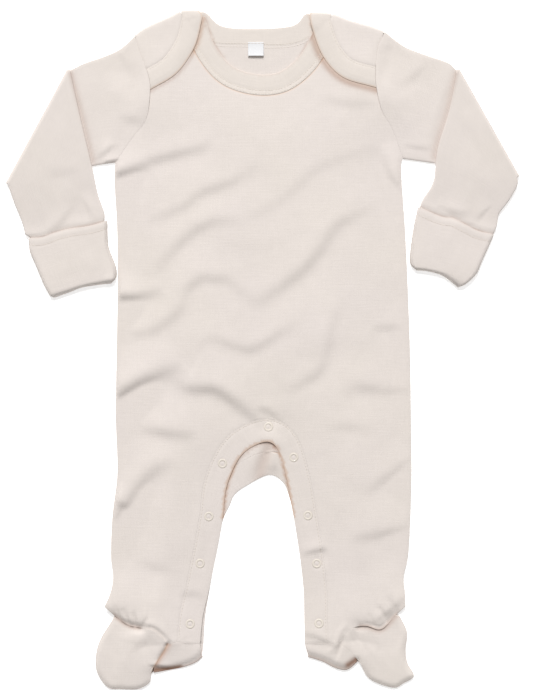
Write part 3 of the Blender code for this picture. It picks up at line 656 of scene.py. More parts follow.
class Drape:
    """How far the cloth above the back stands up, and the back off the surface, at each place."""

    def __init__(self) -> None:
        """Finds the edges where the suit's cloth lies flat on the surface."""
        self.edges = Nearness(self.silhouette())

    @staticmethod
    def silhouette() -> Array:
        """Gathers the edges at which the suit lies flat on the surface.

        Returns:
            The points of the edges of the body, the sleeves, the mitts and the feet.
        """
        neck = spline(FRONT_NECK)
        lines = [side_line(side) for side in Side] + [opening(FRONT_ARCH), neck[neck[:, 0] < 44.0]]
        lines += [spline(line) for line in SHOULDERS.values()]
        for arm in ARMS.values():
            inner = [span.ends()[0] for span in arm.forearm + arm.mitt]
            outer = [span.ends()[1] for span in arm.forearm + arm.mitt]
            lines.append(spline([arm.armhole[0], *[span.ends()[0] for span in arm.upper], arm.top]))
            start, end = np.array(arm.armhole[-1]), np.array(arm.underarm)
            lines += [spline([start, start + 0.2 * (end - start)]), spline([arm.top, arm.underarm])]
            lines += [spline([arm.top, *inner]), spline([arm.underarm, *outer]), spline(arm.tip)]
        for foot in FEET.values():
            lines += [spline(foot.toe), spline(foot.heel_fold)]
        return np.vstack(lines)

    def over(self, points: Array) -> Array:
        """Works out how the cloth above the back lies.

        Args:
            points: Places (x, y, z) in the flat layers.

        Returns:
            How far each place stands up.
        """
        place = points[:, :2]
        away, _ = self.edges.of(place)
        arm = smooth_step((np.abs(place[:, 0]) - ARM_START) / ARM_FADE)
        crown = CROWN * (1.0 - 0.5 * arm) * (1.0 - bell(away, CROWN_REACH))
        body = smooth_step((place[:, 0] - BODY_LEFT) / BODY_FADE)
        body *= smooth_step((BODY_RIGHT - place[:, 0]) / BODY_FADE)
        creases = body * lift_of(FRONT_CREASES, place) + lift_of(SLEEVE_CREASES, place)
        height = crown + lift_of(MOUNDS, place)
        height += (1.0 - bell(away, FOLD_FADE)) * (creases + self.unevenness(place))
        return np.maximum(height, 0.02) - 0.22 * bell(away, 2.5)

    def under(self, points: Array) -> Array:
        """Works out how the back lies.

        Args:
            points: Places (x, y, z) in the flat layers.

        Returns:
            How far each place stands off the surface.
        """
        place = points[:, :2]
        away, _ = self.edges.of(place)
        room = 0.6 * CROWN * (1.0 - bell(away, CROWN_REACH))
        return np.clip(lift_of(BACK_CREASES, place) + self.unevenness(place), 0.0, room)

    @staticmethod
    def unevenness(place: Array) -> Array:
        """Makes the small soft waves that cloth keeps when it is washed and laid out by hand.

        Args:
            place: Places (x, y).

        Returns:
            How far they lift each place.
        """
        broad = [noise.noise((x / 26.0, y / 34.0, 0.3)) for x, y in place]
        small = [noise.noise((x / 9.0, y / 12.0, 4.1)) for x, y in place]
        return 0.40 * np.array(broad) + 0.12 * np.array(small)


# Lines that pieces share


def side_line(side: Side) -> Array:
    """The outer edge of the body and leg on this side, from the underarm down."""
    return spline([(getattr(level, side.value), level.y) for level in SIDES])


def opening(arch: Path) -> Array:
    """Draws the free edge between the legs.

    Args:
        arch: The front's or the back's arch over the crotch.

    Returns:
        The line from the left ankle over the arch to the right ankle.
    """
    inset = ANKLE_INSET if arch is FRONT_ARCH else 0.0
    below = [smooth_step((INSET_TOP - level.y) / INSET_LENGTH) for level in INSEAMS]
    left = [(level.left - inset * share, level.y) for level, share in zip(INSEAMS, below)]
    right = [(level.right, level.y) for level in INSEAMS]
    return spline([*left[::-1], *arch, *right])


def armhole_line(side: Side) -> Array:
    """Draws an armhole's seam.

    Args:
        side: Which sleeve's.

    Returns:
        Its line from the shoulder to the underarm.
    """
    line = spline(ARMS[side].armhole, 1.0)
    trim = round(0.5 * (CLOTH + LEVEL))
    return divided(line[trim:-trim], LINE_STEP)


class Shoulder:
    """The lines of one envelope shoulder: the lap's free edge, its seam and its fold."""

    def __init__(self, side: Side) -> None:
        """Works out the lines from the suit's outline.

        Args:
            side: Which shoulder's.
        """
        sign = side.sign
        self.side = side
        self.armhole = armhole_line(side)
        self.edge = spline(LAPS[side])
        seam_x = BACK_SEAM[0][0] if side is Side.LEFT else BACK_SEAM[-1][0]
        self.band_fold = self.fold_line(self.edge[0][0], seam_x)
        self.lap_fold = self.fold_line(seam_x + sign * 0.3, self.armhole[0][0] - sign * 1.2)
        self.band_seam = self.short_of_armhole(beside(self.edge, sign * LAP_BAND))
        self.lap_seam = self.short_of_armhole(beside(self.edge, sign * (LAP_BAND + SEAM_GAP)))
        self.stitch_row = beside(self.band_seam, -sign * LAP_ROW)

    def fold_line(self, from_x: float, to_x: float) -> Array:
        """Draws the line that the shoulder turns over.

        Args:
            from_x: Where it starts across the suit.
            to_x: Where it ends.

        Returns:
            The line between those places.
        """
        line = beside(spline(SHOULDERS[self.side], 1.0), -(LEVEL + 0.5 * CLOTH))
        across = np.linspace(from_x, to_x, max(2, round(abs(to_x - from_x) / LINE_STEP) + 1))
        return np.column_stack([across, np.interp(across, line[:, 0], line[:, 1])])

    def short_of_armhole(self, line: Array) -> Array:
        """Trims a line of the lap.

        Args:
            line: A line down the lap.

        Returns:
            Its part from below the shoulder's fold to just short of the armhole.
        """
        line = divided(line, 0.4)
        line = line[line[:, 1].argmax() :]
        upward = self.armhole[::-1]
        limit = np.interp(line[:, 1], upward[:, 1], upward[:, 0])
        clear = self.side.sign * (limit - line[:, 0]) > 0.1
        line = line[clear & (line[:, 1] < self.band_fold[-1][1] - 3.0)]
        return np.vstack([line[:-1:5], line[-1:]])

    def band_outline(self) -> Array:
        """Goes round the band's part that lies on the front.

        Returns:
            The outline, from the fold down the seam and up the free edge.
        """
        top, bottom = self.band_seam[-1][1] - 0.4, self.edge[-1][1] + 0.8
        down = self.armhole[(self.armhole[:, 1] < top) & (self.armhole[:, 1] > bottom)]
        return outline_of(self.band_fold, self.band_seam, down, self.edge[::-1])

    def lap_outline(self) -> Array:
        """Goes round the back's part that lies on the front.

        Returns:
            The outline, from the fold down the armhole and up the seam.
        """
        bottom, top = self.lap_seam[-1][1] + 0.3, self.lap_fold[-1][1] - 1.5
        down = self.armhole[(self.armhole[:, 1] > bottom) & (self.armhole[:, 1] < top)]
        return outline_of(self.lap_fold, down, self.lap_seam[::-1])


GATHERS = (
    Crease(((-134, -229), (-130, -236), (-127, -245)), 1.0, 1.9, Form.TROUGH),
    Crease(((-126, -232), (-122, -240), (-119, -250)), 1.3, 1.9, Form.TROUGH),
    Crease(((-117, -235), (-115, -242), (-114, -252)), 1.6, 2.0, Form.TROUGH),
    Crease(((-103, -240), (-106, -246), (-108, -254)), 1.2, 1.8, Form.TROUGH),
    Crease(((-146, -227), (-131, -239), (-119, -245), (-106, -248), (-94, -249)), 0.9, 3.2),
    Crease(((-82, -261), (-85, -265), (-89, -267)), 1.2, 1.8, Form.TROUGH),
    Crease(((-108, -247), (-98, -248.5), (-88, -256), (-82, -264)), 0.8, 2.4),
    Crease(((-66, -256), (-78, -262), (-88, -262)), 0.5, 4.0, Form.RIDGE),
    Crease(((-84, -263), (-89, -272), (-95, -281)), 1.6, 2.2, Form.TROUGH),
    Crease(((-104, -283), (-92, -284.5), (-82, -285.5), (-70, -284)), 1.3, 1.5),
    Crease(((96, -248), (104, -243), (116, -234), (132, -220)), 1.0, 4.2),
    Crease(((87, -246), (95, -246), (104, -249), (110, -246), (121, -235)), 0.7, 1.5, Form.TROUGH),
    Crease(((121, -236), (117, -230), (113, -222)), 1.1, 2.0, Form.TROUGH),
    Crease(((112, -246), (109, -239), (104, -230)), 1.2, 1.9, Form.TROUGH),
    Crease(((100, -250), (98, -243), (95, -236)), 0.8, 1.9, Form.TROUGH),
    Crease(((34, -256), (46, -258), (58, -263), (68, -268)), 1.0, 3.4),
    Crease(((58, -274), (65, -266), (69, -255), (76, -245)), 0.9, 2.4, Form.RIDGE),
    Crease(((66, -279), (69.5, -268), (74, -257)), 1.2, 2.0, Form.TROUGH),
    Crease(((75, -250), (81, -262), (86, -277)), 0.5, 2.4, Form.TROUGH),
)
# Painted shade where the heels' undersides and folds keep the light off: a path, how dark it is, and its
# width
HEEL_SHADES: dict[Side, tuple[tuple[Path, float, float], ...]] = {
    Side.LEFT: (
        (((-101, -289), (-92, -287.6), (-84, -286.8), (-74, -285.4)), 0.95, 2.2),
        (((-70, -285), (-60, -281), (-54, -275.5)), 0.3, 1.4),
        (((-96, -284), (-90.5, -275.5), (-86.6, -270), (-84, -265)), 0.5, 2.8),
    ),
    Side.RIGHT: (
        (((77, -283.5), (81, -281), (86, -278)), 0.85, 3),
        (((84, -277.5), (90, -284), (96, -294)), 0.25, 1.4),
        (((76, -287), (66, -285.5), (55, -280), (41, -275.5)), 0.3, 1.3),
    ),
}
TOE_CREASES = (
    Crease(((78, -250), (88, -263), (98, -277), (106, -290)), 0.4, 2.2, Form.TROUGH),
    Crease(((75, -252), (81, -262), (90, -276)), 0.4, 2.4, Form.TROUGH),
    Crease(((88, -252), (96, -262), (108, -272)), 0.5, 4.0, Form.TROUGH),
    Crease(((122, -244), (124, -258), (121, -272)), 0.5, 3.6),
    Crease(((-140, -258), (-132, -276), (-134, -292)), 0.4, 6.0, Form.TROUGH),
    Crease(((-112, -256), (-103, -262), (-98, -273)), 0.5, 3.5, Form.RIDGE),
)


class Ankle:
    """The lines and the fullness of the cloth where a trouser leg meets its foot."""

    heel = 2.1
    top = -176.0

    def __init__(self, side: Side) -> None:
        """Works out the lines from the leg's and the foot's edges.

        Args:
            side: Which ankle's.
        """
        foot = FEET[side]
        self.side = side
        self.hang, self.bulge = (1.75, 1.9) if side is Side.LEFT else (0.95, 1.3)
        end = 0 if side is Side.LEFT else -1
        line, back_line = opening(FRONT_ARCH), opening(BACK_ARCH)
        inner, back_inner = line[end], back_line[end]
        self.trouser = spline([*foot.trouser_end, beside(line, PLACKET)[end]], 1.2)
        self.back = spline([foot.trouser_end[0], *foot.sole_front, beside(back_line, PLACKET)[end]])
        self.back_end = np.vstack([self.back, [back_inner]])
        joint, meet = Nearness(self.trouser).of(np.array([foot.joint, foot.toe_side[-1]]))[1]
        self.over = self.trouser[: joint + 1]
        self.butt = self.trouser[joint : meet + 1]
        self.heel_seam = np.vstack([[inner], self.trouser[meet:][::-1]])
        self.fold = spline(foot.heel_fold)

    def fullness(self, points: Array) -> Array:
        """Works out how the leg hangs over the foot, and how round the heel is.

        Args:
            points: Places (x, y) in the leg or the heel.

        Returns:
            How far the cloth stands up there.
        """
        lift = np.zeros(len(points))
        near = (points[:, 1] < self.top) & (points[:, 0] * self.side.sign > 0.0)
        place = points[near, :2]
        if not len(place):
            return lift
        away = distance(place, self.over, 0.8)
        roll = self.hang + self.bulge * (1.0 - bell(away, 5.5))
        lip = roll * (1.0 - smooth_step((away - 9.0) / 46.0))
        away = distance(place, self.fold)
        heel = self.heel * (1.0 - bell(away, 3.4)) * bell(away, 34.0)
        lift[near] = lip + heel + lift_of(GATHERS, place)
        return lift


# Cloth layers: middle surfaces


@dataclass
class Layer:
    """The middle surface of a piece of cloth, with the knit's own coordinates at each point."""

    points: Array
    normals: Array
    faces: list[Face]
    grain: Array


@dataclass(frozen=True)
class Mark:
    """A soft rise or dip of a piece's outer side along a line, such as under a row of stitches."""

    line: Array
    height: float
    width: float

    def lift(self, points: Array) -> Array:
        """How far the outer side is moved at each point."""
        return self.height * bell(distance(points, self.line, 0.4), self.width)

    def rails(self) -> list[Array]:
        """The lines along which the mesh needs points, to show the mark."""
        return [beside(self.line, share * self.width) for share in (-1.5, -0.7, 0.0, 0.7, 1.5)]


def flat_layer(
    outline: Array,
    level: int,
    rails: Sequence[Array] = (),
    facing: float = 1.0,
    fine: Sequence[Array] = (),
    spacing: float = PANEL_STEP,
) -> Layer:
    """Makes the middle surface of a flat piece.

    Args:
        outline: The piece's closed outline (x, y).
        level: Which level it lies in.
        rails: Lines along which it gets points, such as beside its seams.
        facing: 1 if its outer side is up, -1 if it is down.
        fine: Lines along which its points are closer together.
        spacing: How far apart its other points are.

    Returns:
        Its layer, as triangles.
    """
    closed = np.vstack([outline, outline[:1]])
    border = Nearness(divided(closed, 0.6))
    kept: list[Array] = []
    for rail, step in [(rail, RAIL_STEP) for rail in rails] + [(rail, FINE_STEP) for rail in fine]:
        line = divided(rail, step)
        line = line[inside(line, outline)]
        if len(line):
            line = line[border.of(line)[0] > RAIL_EDGE_CLEAR]
        if len(line) and kept:
            line = line[distance(line, np.vstack(kept)) > RAIL_CLEAR]
        if len(line):
            kept.append(line)
    low, high = outline.min(axis=0), outline.max(axis=0)
    rows = np.arange(low[1] + 0.4 * spacing, high[1], ROW_SHARE * spacing)
    columns = np.arange(low[0], high[0], spacing)
    grid = np.array([(x + 0.5 * spacing * (row % 2), y) for row, y in enumerate(rows) for x in columns])
    grid = grid.reshape(-1, 2)
    grid = grid[inside(grid, outline)]
    if len(grid):
        grid = grid[border.of(grid)[0] > GRID_EDGE_CLEAR * spacing]
    if len(grid) and kept:
        grid = grid[distance(grid, np.vstack(kept)) > GRID_CLEAR * spacing]
    known = [Vector(point) for point in np.vstack([outline, *kept, grid])]
    made = geometry.delaunay_2d_cdt(known, [], [list(range(len(outline)))], 1, 1e-5)
    flat = np.array([tuple(point) for point in made[0]])
    normals = np.tile([0.0, 0.0, facing], (len(flat), 1))
    faces = [tuple(face) for face in made[2]]
    return Layer(at_height(flat, LEVEL * level + 0.5 * CLOTH), normals, faces, flat.copy())


def grain_along(layer: Layer, line: Array) -> None:
    """Turns the knit of a band so that it runs along a line.

    Args:
        layer: The band's layer, which gets the new coordinates.
        line: The line.
    """
    fine = divided(line, 0.5)
    away, number = Nearness(fine).of(layer.points)
    layer.grain = np.column_stack([away, number * 0.5])


def strip(rows: Sequence[Array]) -> list[Face]:
    """Joins rows of points.

    Args:
        rows: Rows of point numbers, all as long.

    Returns:
        The faces between each row and the next.
    """
    return [
        (low[i], low[i + 1], high[i + 1], high[i])
        for low, high in zip(rows, rows[1:])
        for i in range(len(low) - 1)
    ]


def turned_over(lower: Layer, laps: Sequence[tuple[Layer, Array]], outwards: Sequence[float]) -> Layer:
    """Joins laps to the lower layer by a half turn along their common lines.

    Args:
        lower: The layer that lies below.
        laps: Each layer that lies above, and the line it turns over.
        outwards: 1 or -1 for each, if outwards is to its line's left or right.

    Returns:
        All of it as one layer.
    """
    points, normals, grain, faces = [lower.points], [lower.normals], [lower.grain], [*lower.faces]
    for (lap, line), sign in zip(laps, outwards):
        first = sum(len(part) for part in points)
        faces += [tuple(first + number for number in face) for face in lap.faces]
        below = Nearness(lower.points[:, :2]).of(line)[1]
        above = Nearness(lap.points[:, :2]).of(line)[1]
        middle = 0.5 * (lower.points[0, 2] + lap.points[0, 2])
        radius = lap.points[0, 2] - middle
        points.append(lap.points)
        normals.append(lap.normals)
        grain.append(lap.grain)
        out = left_normals(line) * sign
        rows = [below]
        start = first + len(lap.points)
        for number in range(1, TURN_STEPS):
            angle = math.pi * number / TURN_STEPS
            across = at_height(out * math.sin(angle), -math.cos(angle))
            points.append(at_height(line, middle) + across * radius)
            normals.append(across)
            grain.append(lap.grain[above] + out * radius * (angle - math.pi))
            rows.append(start + (number - 1) * len(line) + np.arange(len(line)))
        rows.append(first + above)
        faces += strip(rows)
    faces = [face for face in faces if len(set(face)) == len(face)]
    return Layer(np.vstack(points), np.vstack(normals), faces, np.vstack(grain))


@dataclass
class Ring:
    """One ring of a flattened tube round its middle line."""

    middle: Array
    half: float
    tilt: float = 0.0
    away: Point = (0.0, 0.0)

    def points(self) -> tuple[Array, Array]:
        """Works out the ring.

        Returns:
            Its points, and the direction of the tube's outer side at each.
        """
        up = np.array([*(np.array(self.away) * math.sin(self.tilt)), math.cos(self.tilt)])
        along = self.middle[-1] - self.middle[0]
        along = np.array([along[0], along[1], 0.0]) / math.hypot(along[0], along[1])
        turns = math.pi * np.arange(1, 6)[:, None] / 6
        arc = along * np.sin(turns) + up * np.cos(turns)
        count = len(self.middle)
        ring = np.vstack(
            [
                self.middle + up * self.half,
                self.middle[-1] + arc * self.half,
                self.middle[::-1] - up * self.half,
                self.middle[0] - arc * self.half,
            ]
        )
        return ring, np.vstack([np.tile(up, (count, 1)), arc, np.tile(-up, (count, 1)), -arc])


def tube_layer(rings: Sequence[Ring], closed_by: Array | None = None) -> Layer:
    """Makes the middle surface of a tube.

    Args:
        rings: The tube's rings in order, all with as many points.
        closed_by: The line at which a pouch closes, beyond its last ring.

    Returns:
        Its layer, with the knit running along the tube.
    """
    made = [ring.points() for ring in rings]
    points = [ring for ring, _ in made]
    normals = [normal for _, normal in made]
    size = len(points[0])
    faces = grid_faces(len(points), size, ring=True)
    steps = [0.0] + [float(np.linalg.norm(b - a, axis=1).mean()) for a, b in zip(points, points[1:])]
    round_it = np.concatenate([[0.0], np.cumsum(np.linalg.norm(np.diff(points[0], axis=0), axis=1))])
    grain = [np.column_stack([round_it, np.full(size, total)]) for total in np.cumsum(steps)]
    if closed_by is not None:
        count = len(closed_by)
        side = (size - 2 * count) // 2
        last, end = (len(points) - 1) * size, len(points) * size
        ahead = closed_by.mean(axis=0) - points[-1].mean(axis=0)
        ahead[2] = 0.0
        points.append(closed_by)
        normals.append(np.tile(ahead / np.linalg.norm(ahead), (count, 1)))
        grain.append(grain[-1][:count] + (0.0, 1.5))
        back = last + count + side
        for i in range(count - 1):
            faces.append((last + i, last + i + 1, end + i + 1, end + i))
            faces.append((back + i, back + i + 1, end + count - 2 - i, end + count - 1 - i))
        for first, corner in ((last + count - 1, end + count - 1), (back + count - 1, end)):
            ring = [first + step for step in range(side + 1)] + [last if corner == end else back]
            faces += [(a, b, corner) for a, b in zip(ring, ring[1:])]
    return Layer(np.vstack(points), np.vstack(normals), faces, np.vstack(grain))


# Shells


def add_mesh(name: str, points: Array, faces: Sequence[Face], finish: bpy.types.Material) -> Any:
    """Makes one smooth object in metres, with its faces turned outwards.

    Args:
        name: The object's name.
        points: Its points in millimetres.
        faces: Its faces, as numbers of points.
        finish: Its material.

    Returns:
        The new object.
    """
    mesh = bpy.data.meshes.new(name)
    mesh.from_pydata((np.asarray(points) * MM).tolist(), [], list(faces))
    shape = bmesh.new()
    shape.from_mesh(mesh)
    bmesh.ops.recalc_face_normals(shape, faces=shape.faces)
    shape.to_mesh(mesh)
    shape.free()
    mesh.shade_smooth()
    mesh.materials.append(finish)
    made = bpy.data.objects.new(name, mesh)
    bpy.context.scene.collection.objects.link(made)
    return made


def write_attribute(made: Any, name: str, kind: str, values: Array) -> None:
    """Writes a value or a vector at each of the object's points.

    Args:
        made: The object.
        name: The attribute's name.
        kind: Its data type.
        values: What it is at each point.
    """
    attribute = made.data.attributes.new(name, kind, "POINT")
    key = "vector" if kind == "FLOAT_VECTOR" else "value"
    attribute.data.foreach_set(key, np.asarray(values, np.float32).ravel())


@dataclass
class Shell:
    """A thin closed piece of cloth on its layer, which stands for a node of the frame."""

    name: str
    layer: Layer
    finish: bpy.types.Material
    seams: Sequence[Array] = ()
    marks: Sequence[Mark] = ()
    # Marks where warm shade and glow, and brown shade, are painted into the colour; a mark's height is how
    # much
    painted_warm_shade_and_glow: Sequence[Mark] = ()
    painted_shade: Sequence[Mark] = ()
    lift: Array | float = 0.0
    prop: Array | float = 0.0
    wall: float = CLOTH
    tree: BVHTree | None = None

    def build(self, drape: Drape | None) -> "Shell":
        """Makes the piece and puts it in its node's place.

        Args:
            drape: How the cloth lies, or None if the layer already has its shape.

        Returns:
            The same shell, with its object made.
        """
        layer, half = self.layer, 0.5 * self.wall
        edges, outward = self.border()
        numbers = np.array(sorted({number for edge in edges for number in edge}), int)
        up, out = layer.normals[numbers], outward[numbers]
        base, count = layer.points.copy(), len(layer.points)
        radius = self.rim_radius(base[numbers])
        base[numbers] -= out * radius[:, None]
        swell = lift_of(self.marks, base)
        rows = [base + layer.normals * (half + swell)[:, None], base - layer.normals * half]
        angles = [0.5 * math.pi * step / RIM_STEPS for step in range(1, RIM_STEPS + 1)]
        turns = [(half + swell[numbers] - radius, angle) for angle in angles]
        turns += [(radius - half, math.pi - angle) for angle in angles[::-1]]
        for height, turn in turns:
            rise = up * (height + radius * math.cos(turn))[:, None]
            rows.append(base[numbers] + (rise + out * (radius * math.sin(turn))[:, None]))
        points, faces = np.vstack(rows), self.faces(edges, numbers)
        source = np.concatenate([np.arange(count), np.arange(count), np.tile(numbers, 2 * RIM_STEPS)])
        points[:, 2] += self.settled(base, drape)[source]
        made = add_mesh(f"{self.name}_cloth", points, faces, self.finish)
        write_attribute(made, "knit", "FLOAT_VECTOR", at_height(layer.grain, 0.0)[source])
        # Painted warm shade and glow, and painted brown shade, for the finish to mix into the colour
        write_attribute(made, "warmth", "FLOAT", np.clip(lift_of(self.painted_warm_shade_and_glow, base), 0.0, 1.0)[source])
        write_attribute(made, "dusk", "FLOAT", np.clip(lift_of(self.painted_shade, base), 0.0, DARKEST_PAINTED_SHADE)[source])
        self.tree = BVHTree.FromPolygons(points.tolist(), faces)
        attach(made, "root")
        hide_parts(self.name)
        log.info("%s: %d faces", made.name, len(faces))
        return self

    def rim_radius(self, points: Array) -> Array:
        """Works out how round the rim is.

        Args:
            points: The points on the layer's open edges.

        Returns:
            The rim's radius at each: a hem's, a seam's, or what a thin wall allows.
        """
        radius = np.full(len(points), HEM_RADIUS)
        for seam in self.seams:
            radius[distance(points, seam, 0.5) < SEAM_REACH] = SEAM_RADIUS
        thin = np.minimum(lift_of(self.marks, points), 0.0)
        return np.minimum(radius, 0.48 * (self.wall + thin))

    def faces(self, edges: Sequence[tuple[int, int]], numbers: Array) -> list[Face]:
        """Joins the outer side, the inner side and the rounded rim between them.

        Args:
            edges: The layer's open edges.
            numbers: The points on them, in the order of the rim's rows.

        Returns:
            All of the shell's faces.
        """
        count, place = len(self.layer.points), {number: i for i, number in enumerate(numbers)}
        faces = [*self.layer.faces]
        faces += [tuple(number + count for number in reversed(face)) for face in self.layer.faces]
        for a, b in edges:
            firsts = [2 * count + row * len(numbers) for row in range(2 * RIM_STEPS)]
            rim = [(first + place[a], first + place[b]) for first in firsts]
            rim = [(a, b), *rim, (a + count, b + count)]
            faces += [(p[0], p[1], q[1], q[0]) for p, q in zip(rim, rim[1:])]
        return faces

    def border(self) -> tuple[list[tuple[int, int]], Array]:
        """Finds the layer's open edges.

        Returns:
            The edges, and at each of the layer's points the direction out of the piece.
        """
        uses: dict[tuple[int, int], list[Face]] = {}
        for face in self.layer.faces:
            for a, b in zip(face, face[1:] + face[:1]):
                uses.setdefault((min(a, b), max(a, b)), []).append(face)
        edges = [edge for edge, faces in uses.items() if len(faces) == 1]
        points = self.layer.points
        outward = np.zeros_like(points)
        for a, b in edges:
            run = points[b] - points[a]
            run /= np.linalg.norm(run)
            away = 0.5 * (points[a] + points[b]) - points[list(uses[a, b][0])].mean(axis=0)
            away -= run * (away @ run)
            away /= max(np.linalg.norm(away), 1e-9)
            outward[a] += away
            outward[b] += away
        size = np.linalg.norm(outward, axis=1)
        outward[size > 0] /= size[size > 0, None]
        return edges, outward

    def settled(self, base: Array, drape: Drape | None) -> Array:
        """Settles the cloth on what is under it.

        Args:
            base: The layer's points.
            drape: How the cloth lies, or None.

        Returns:
            How far each point goes up.
        """
        if drape is None:
            return np.zeros(len(base))
        share = smooth_step((base[:, 2] - 0.5 * CLOTH) / LEVEL)
        return share * (drape.over(base) + self.lift) + (1.0 - share) * (drape.under(base) + self.prop)

    def surface(self, x: float, y: float) -> tuple[Vector, Vector]:
        """Finds the piece's upper side.

        Args:
            x: The place across the suit.
            y: The place along it.

        Returns:
            The point and the direction of the cloth there.
        """
        point, normal, _, _ = self.tree.ray_cast(Vector((x, y, 60.0)), Vector((0.0, 0.0, -1.0)))
        if point is None:
            point, normal, _, _ = self.tree.find_nearest(Vector((x, y, 4.0)))
        return point, normal if normal.z > 0 else -normal


# Finishes: node graphs


class Socket:
    """A node's output, which takes part in sums."""

    def __init__(self, graph: "Graph", output: Any) -> None:
        """Keeps the output and the graph that new nodes go in."""
        self.graph = graph
        self.output = output

    def math(self, operation: str, *values: Any) -> "Socket":
        """A Math node's result for these values."""
        return self.graph.add("ShaderNodeMath", {"operation": operation}, dict(enumerate(values)))

    def __add__(self, other: Any) -> "Socket":
        """This value plus another."""
        return self.math("ADD", self, other)

    __radd__ = __add__

    def __sub__(self, other: Any) -> "Socket":
        """This value less another."""
        return self.math("SUBTRACT", self, other)

    def __rsub__(self, other: Any) -> "Socket":
        """Another value less this one."""
        return self.math("SUBTRACT", other, self)

    def __mul__(self, other: Any) -> "Socket":
        """This value times another."""
        return self.math("MULTIPLY", self, other)

    __rmul__ = __mul__


class Graph:
    """A material's node graph round one Principled shader."""

    def __init__(self, name: str) -> None:
        """Makes a new material with an empty graph.

        Args:
            name: The material's name.
        """
        self.material = bpy.data.materials.new(name)
        self.material.use_nodes = True
        self.tree = self.material.node_tree
        self.tree.nodes.clear()
        self.shader = self.tree.nodes.new("ShaderNodeBsdfPrincipled")
        output = self.tree.nodes.new("ShaderNodeOutputMaterial")
        self.tree.links.new(self.shader.outputs["BSDF"], output.inputs["Surface"])

    def add(self, kind: str, settings: dict[str, Any], values: dict[Any, Any], result: Any = 0) -> Socket:
        """Adds a node.

        Args:
            kind: The node's type.
            settings: Its own settings; "stops" are a ramp's (place, colour) pairs.
            values: What its sockets get, by name or number.
            result: The output wanted, by name or number.

        Returns:
            That output.
        """
        node = self.tree.nodes.new(kind)
        for key, value in settings.items():
            if key == "stops":
                while len(node.color_ramp.elements) < len(value):
                    node.color_ramp.elements.new(0.5)
                for element, (place, colour) in zip(node.color_ramp.elements, value):
                    element.position, element.color = place, (*colour, 1.0)
            else:
                setattr(node, key, value)
        for key, value in values.items():
            if isinstance(value, Socket):
                self.tree.links.new(value.output, node.inputs[key])
            else:
                node.inputs[key].default_value = value
        return Socket(self, node.outputs[result])

    def mix(self, share: Any, first: Any, second: Any, blend: str = "MIX") -> Socket:
        """Mixes two colours.

        Args:
            share: How much of the second, from 0 to 1.
            first: A colour.
            second: Another colour.
            blend: How they are put together.

        Returns:
            The new colour.
        """
        first = first if isinstance(first, Socket) else (*first, 1.0)
        second = second if isinstance(second, Socket) else (*second, 1.0)
        settings = {"data_type": "RGBA", "blend_type": blend}
        return self.add("ShaderNodeMix", settings, {0: share, 6: first, 7: second}, 2)

    def noise(self, place: Socket, scale: float, detail: float = 2.0, rough: float = 0.5) -> Socket:
        """A noise value at a place."""
        values = {"Vector": place, "Scale": scale, "Detail": detail, "Roughness": rough}
        return self.add("ShaderNodeTexNoise", {}, values)

    def drawn_out(self, place: Socket, scale: Triple) -> Socket:
        """A noise value that is drawn out along the axes with a small scale."""
        scaled = self.add("ShaderNodeVectorMath", {"operation": "MULTIPLY"}, {0: place, 1: scale})
        return self.noise(scaled, 1.0)

    def bump(self, strength: float, depth: float, height: Socket) -> Socket:
        """A normal for a height from 0 to 1 that stands up this many millimetres."""
        values = {"Strength": strength, "Distance": depth * MM, "Height": height}
        return self.add("ShaderNodeBump", {}, values)

    def written(self, name: str, output: str = "Fac") -> Socket:
        """What the mesh keeps at each point under this name."""
        return self.add("ShaderNodeAttribute", {"attribute_name": name}, {}, output)

    def place(self) -> Socket:
        """Where each point is, in metres."""
        return self.add("ShaderNodeTexCoord", {}, {}, "Object")

    def axes(self, vector: Socket) -> list[Socket]:
        """A vector's first two parts."""
        parts = self.add("ShaderNodeSeparateXYZ", {}, {0: vector}).output.node.outputs
        return [Socket(self, part) for part in parts[:2]]

    def feed(self, **values: Any) -> None:
        """Sets or links the shader's sockets.

        Args:
            **values: A value for each socket, whose name has _ for a space.
        """
        for key, value in values.items():
            target = self.shader.inputs[key.replace("_", " ")]
            if isinstance(value, Socket):
                self.tree.links.new(value.output, target)
            else:
                target.default_value = value


@dataclass(frozen=True)
class Finish:
    """A material to be."""

    name: str
    colour: Colour

    def tinted(self, share: float) -> Colour:
        """The colour, darker by this factor."""
        red, green, blue = self.colour
        return share * red, share * green, share * blue


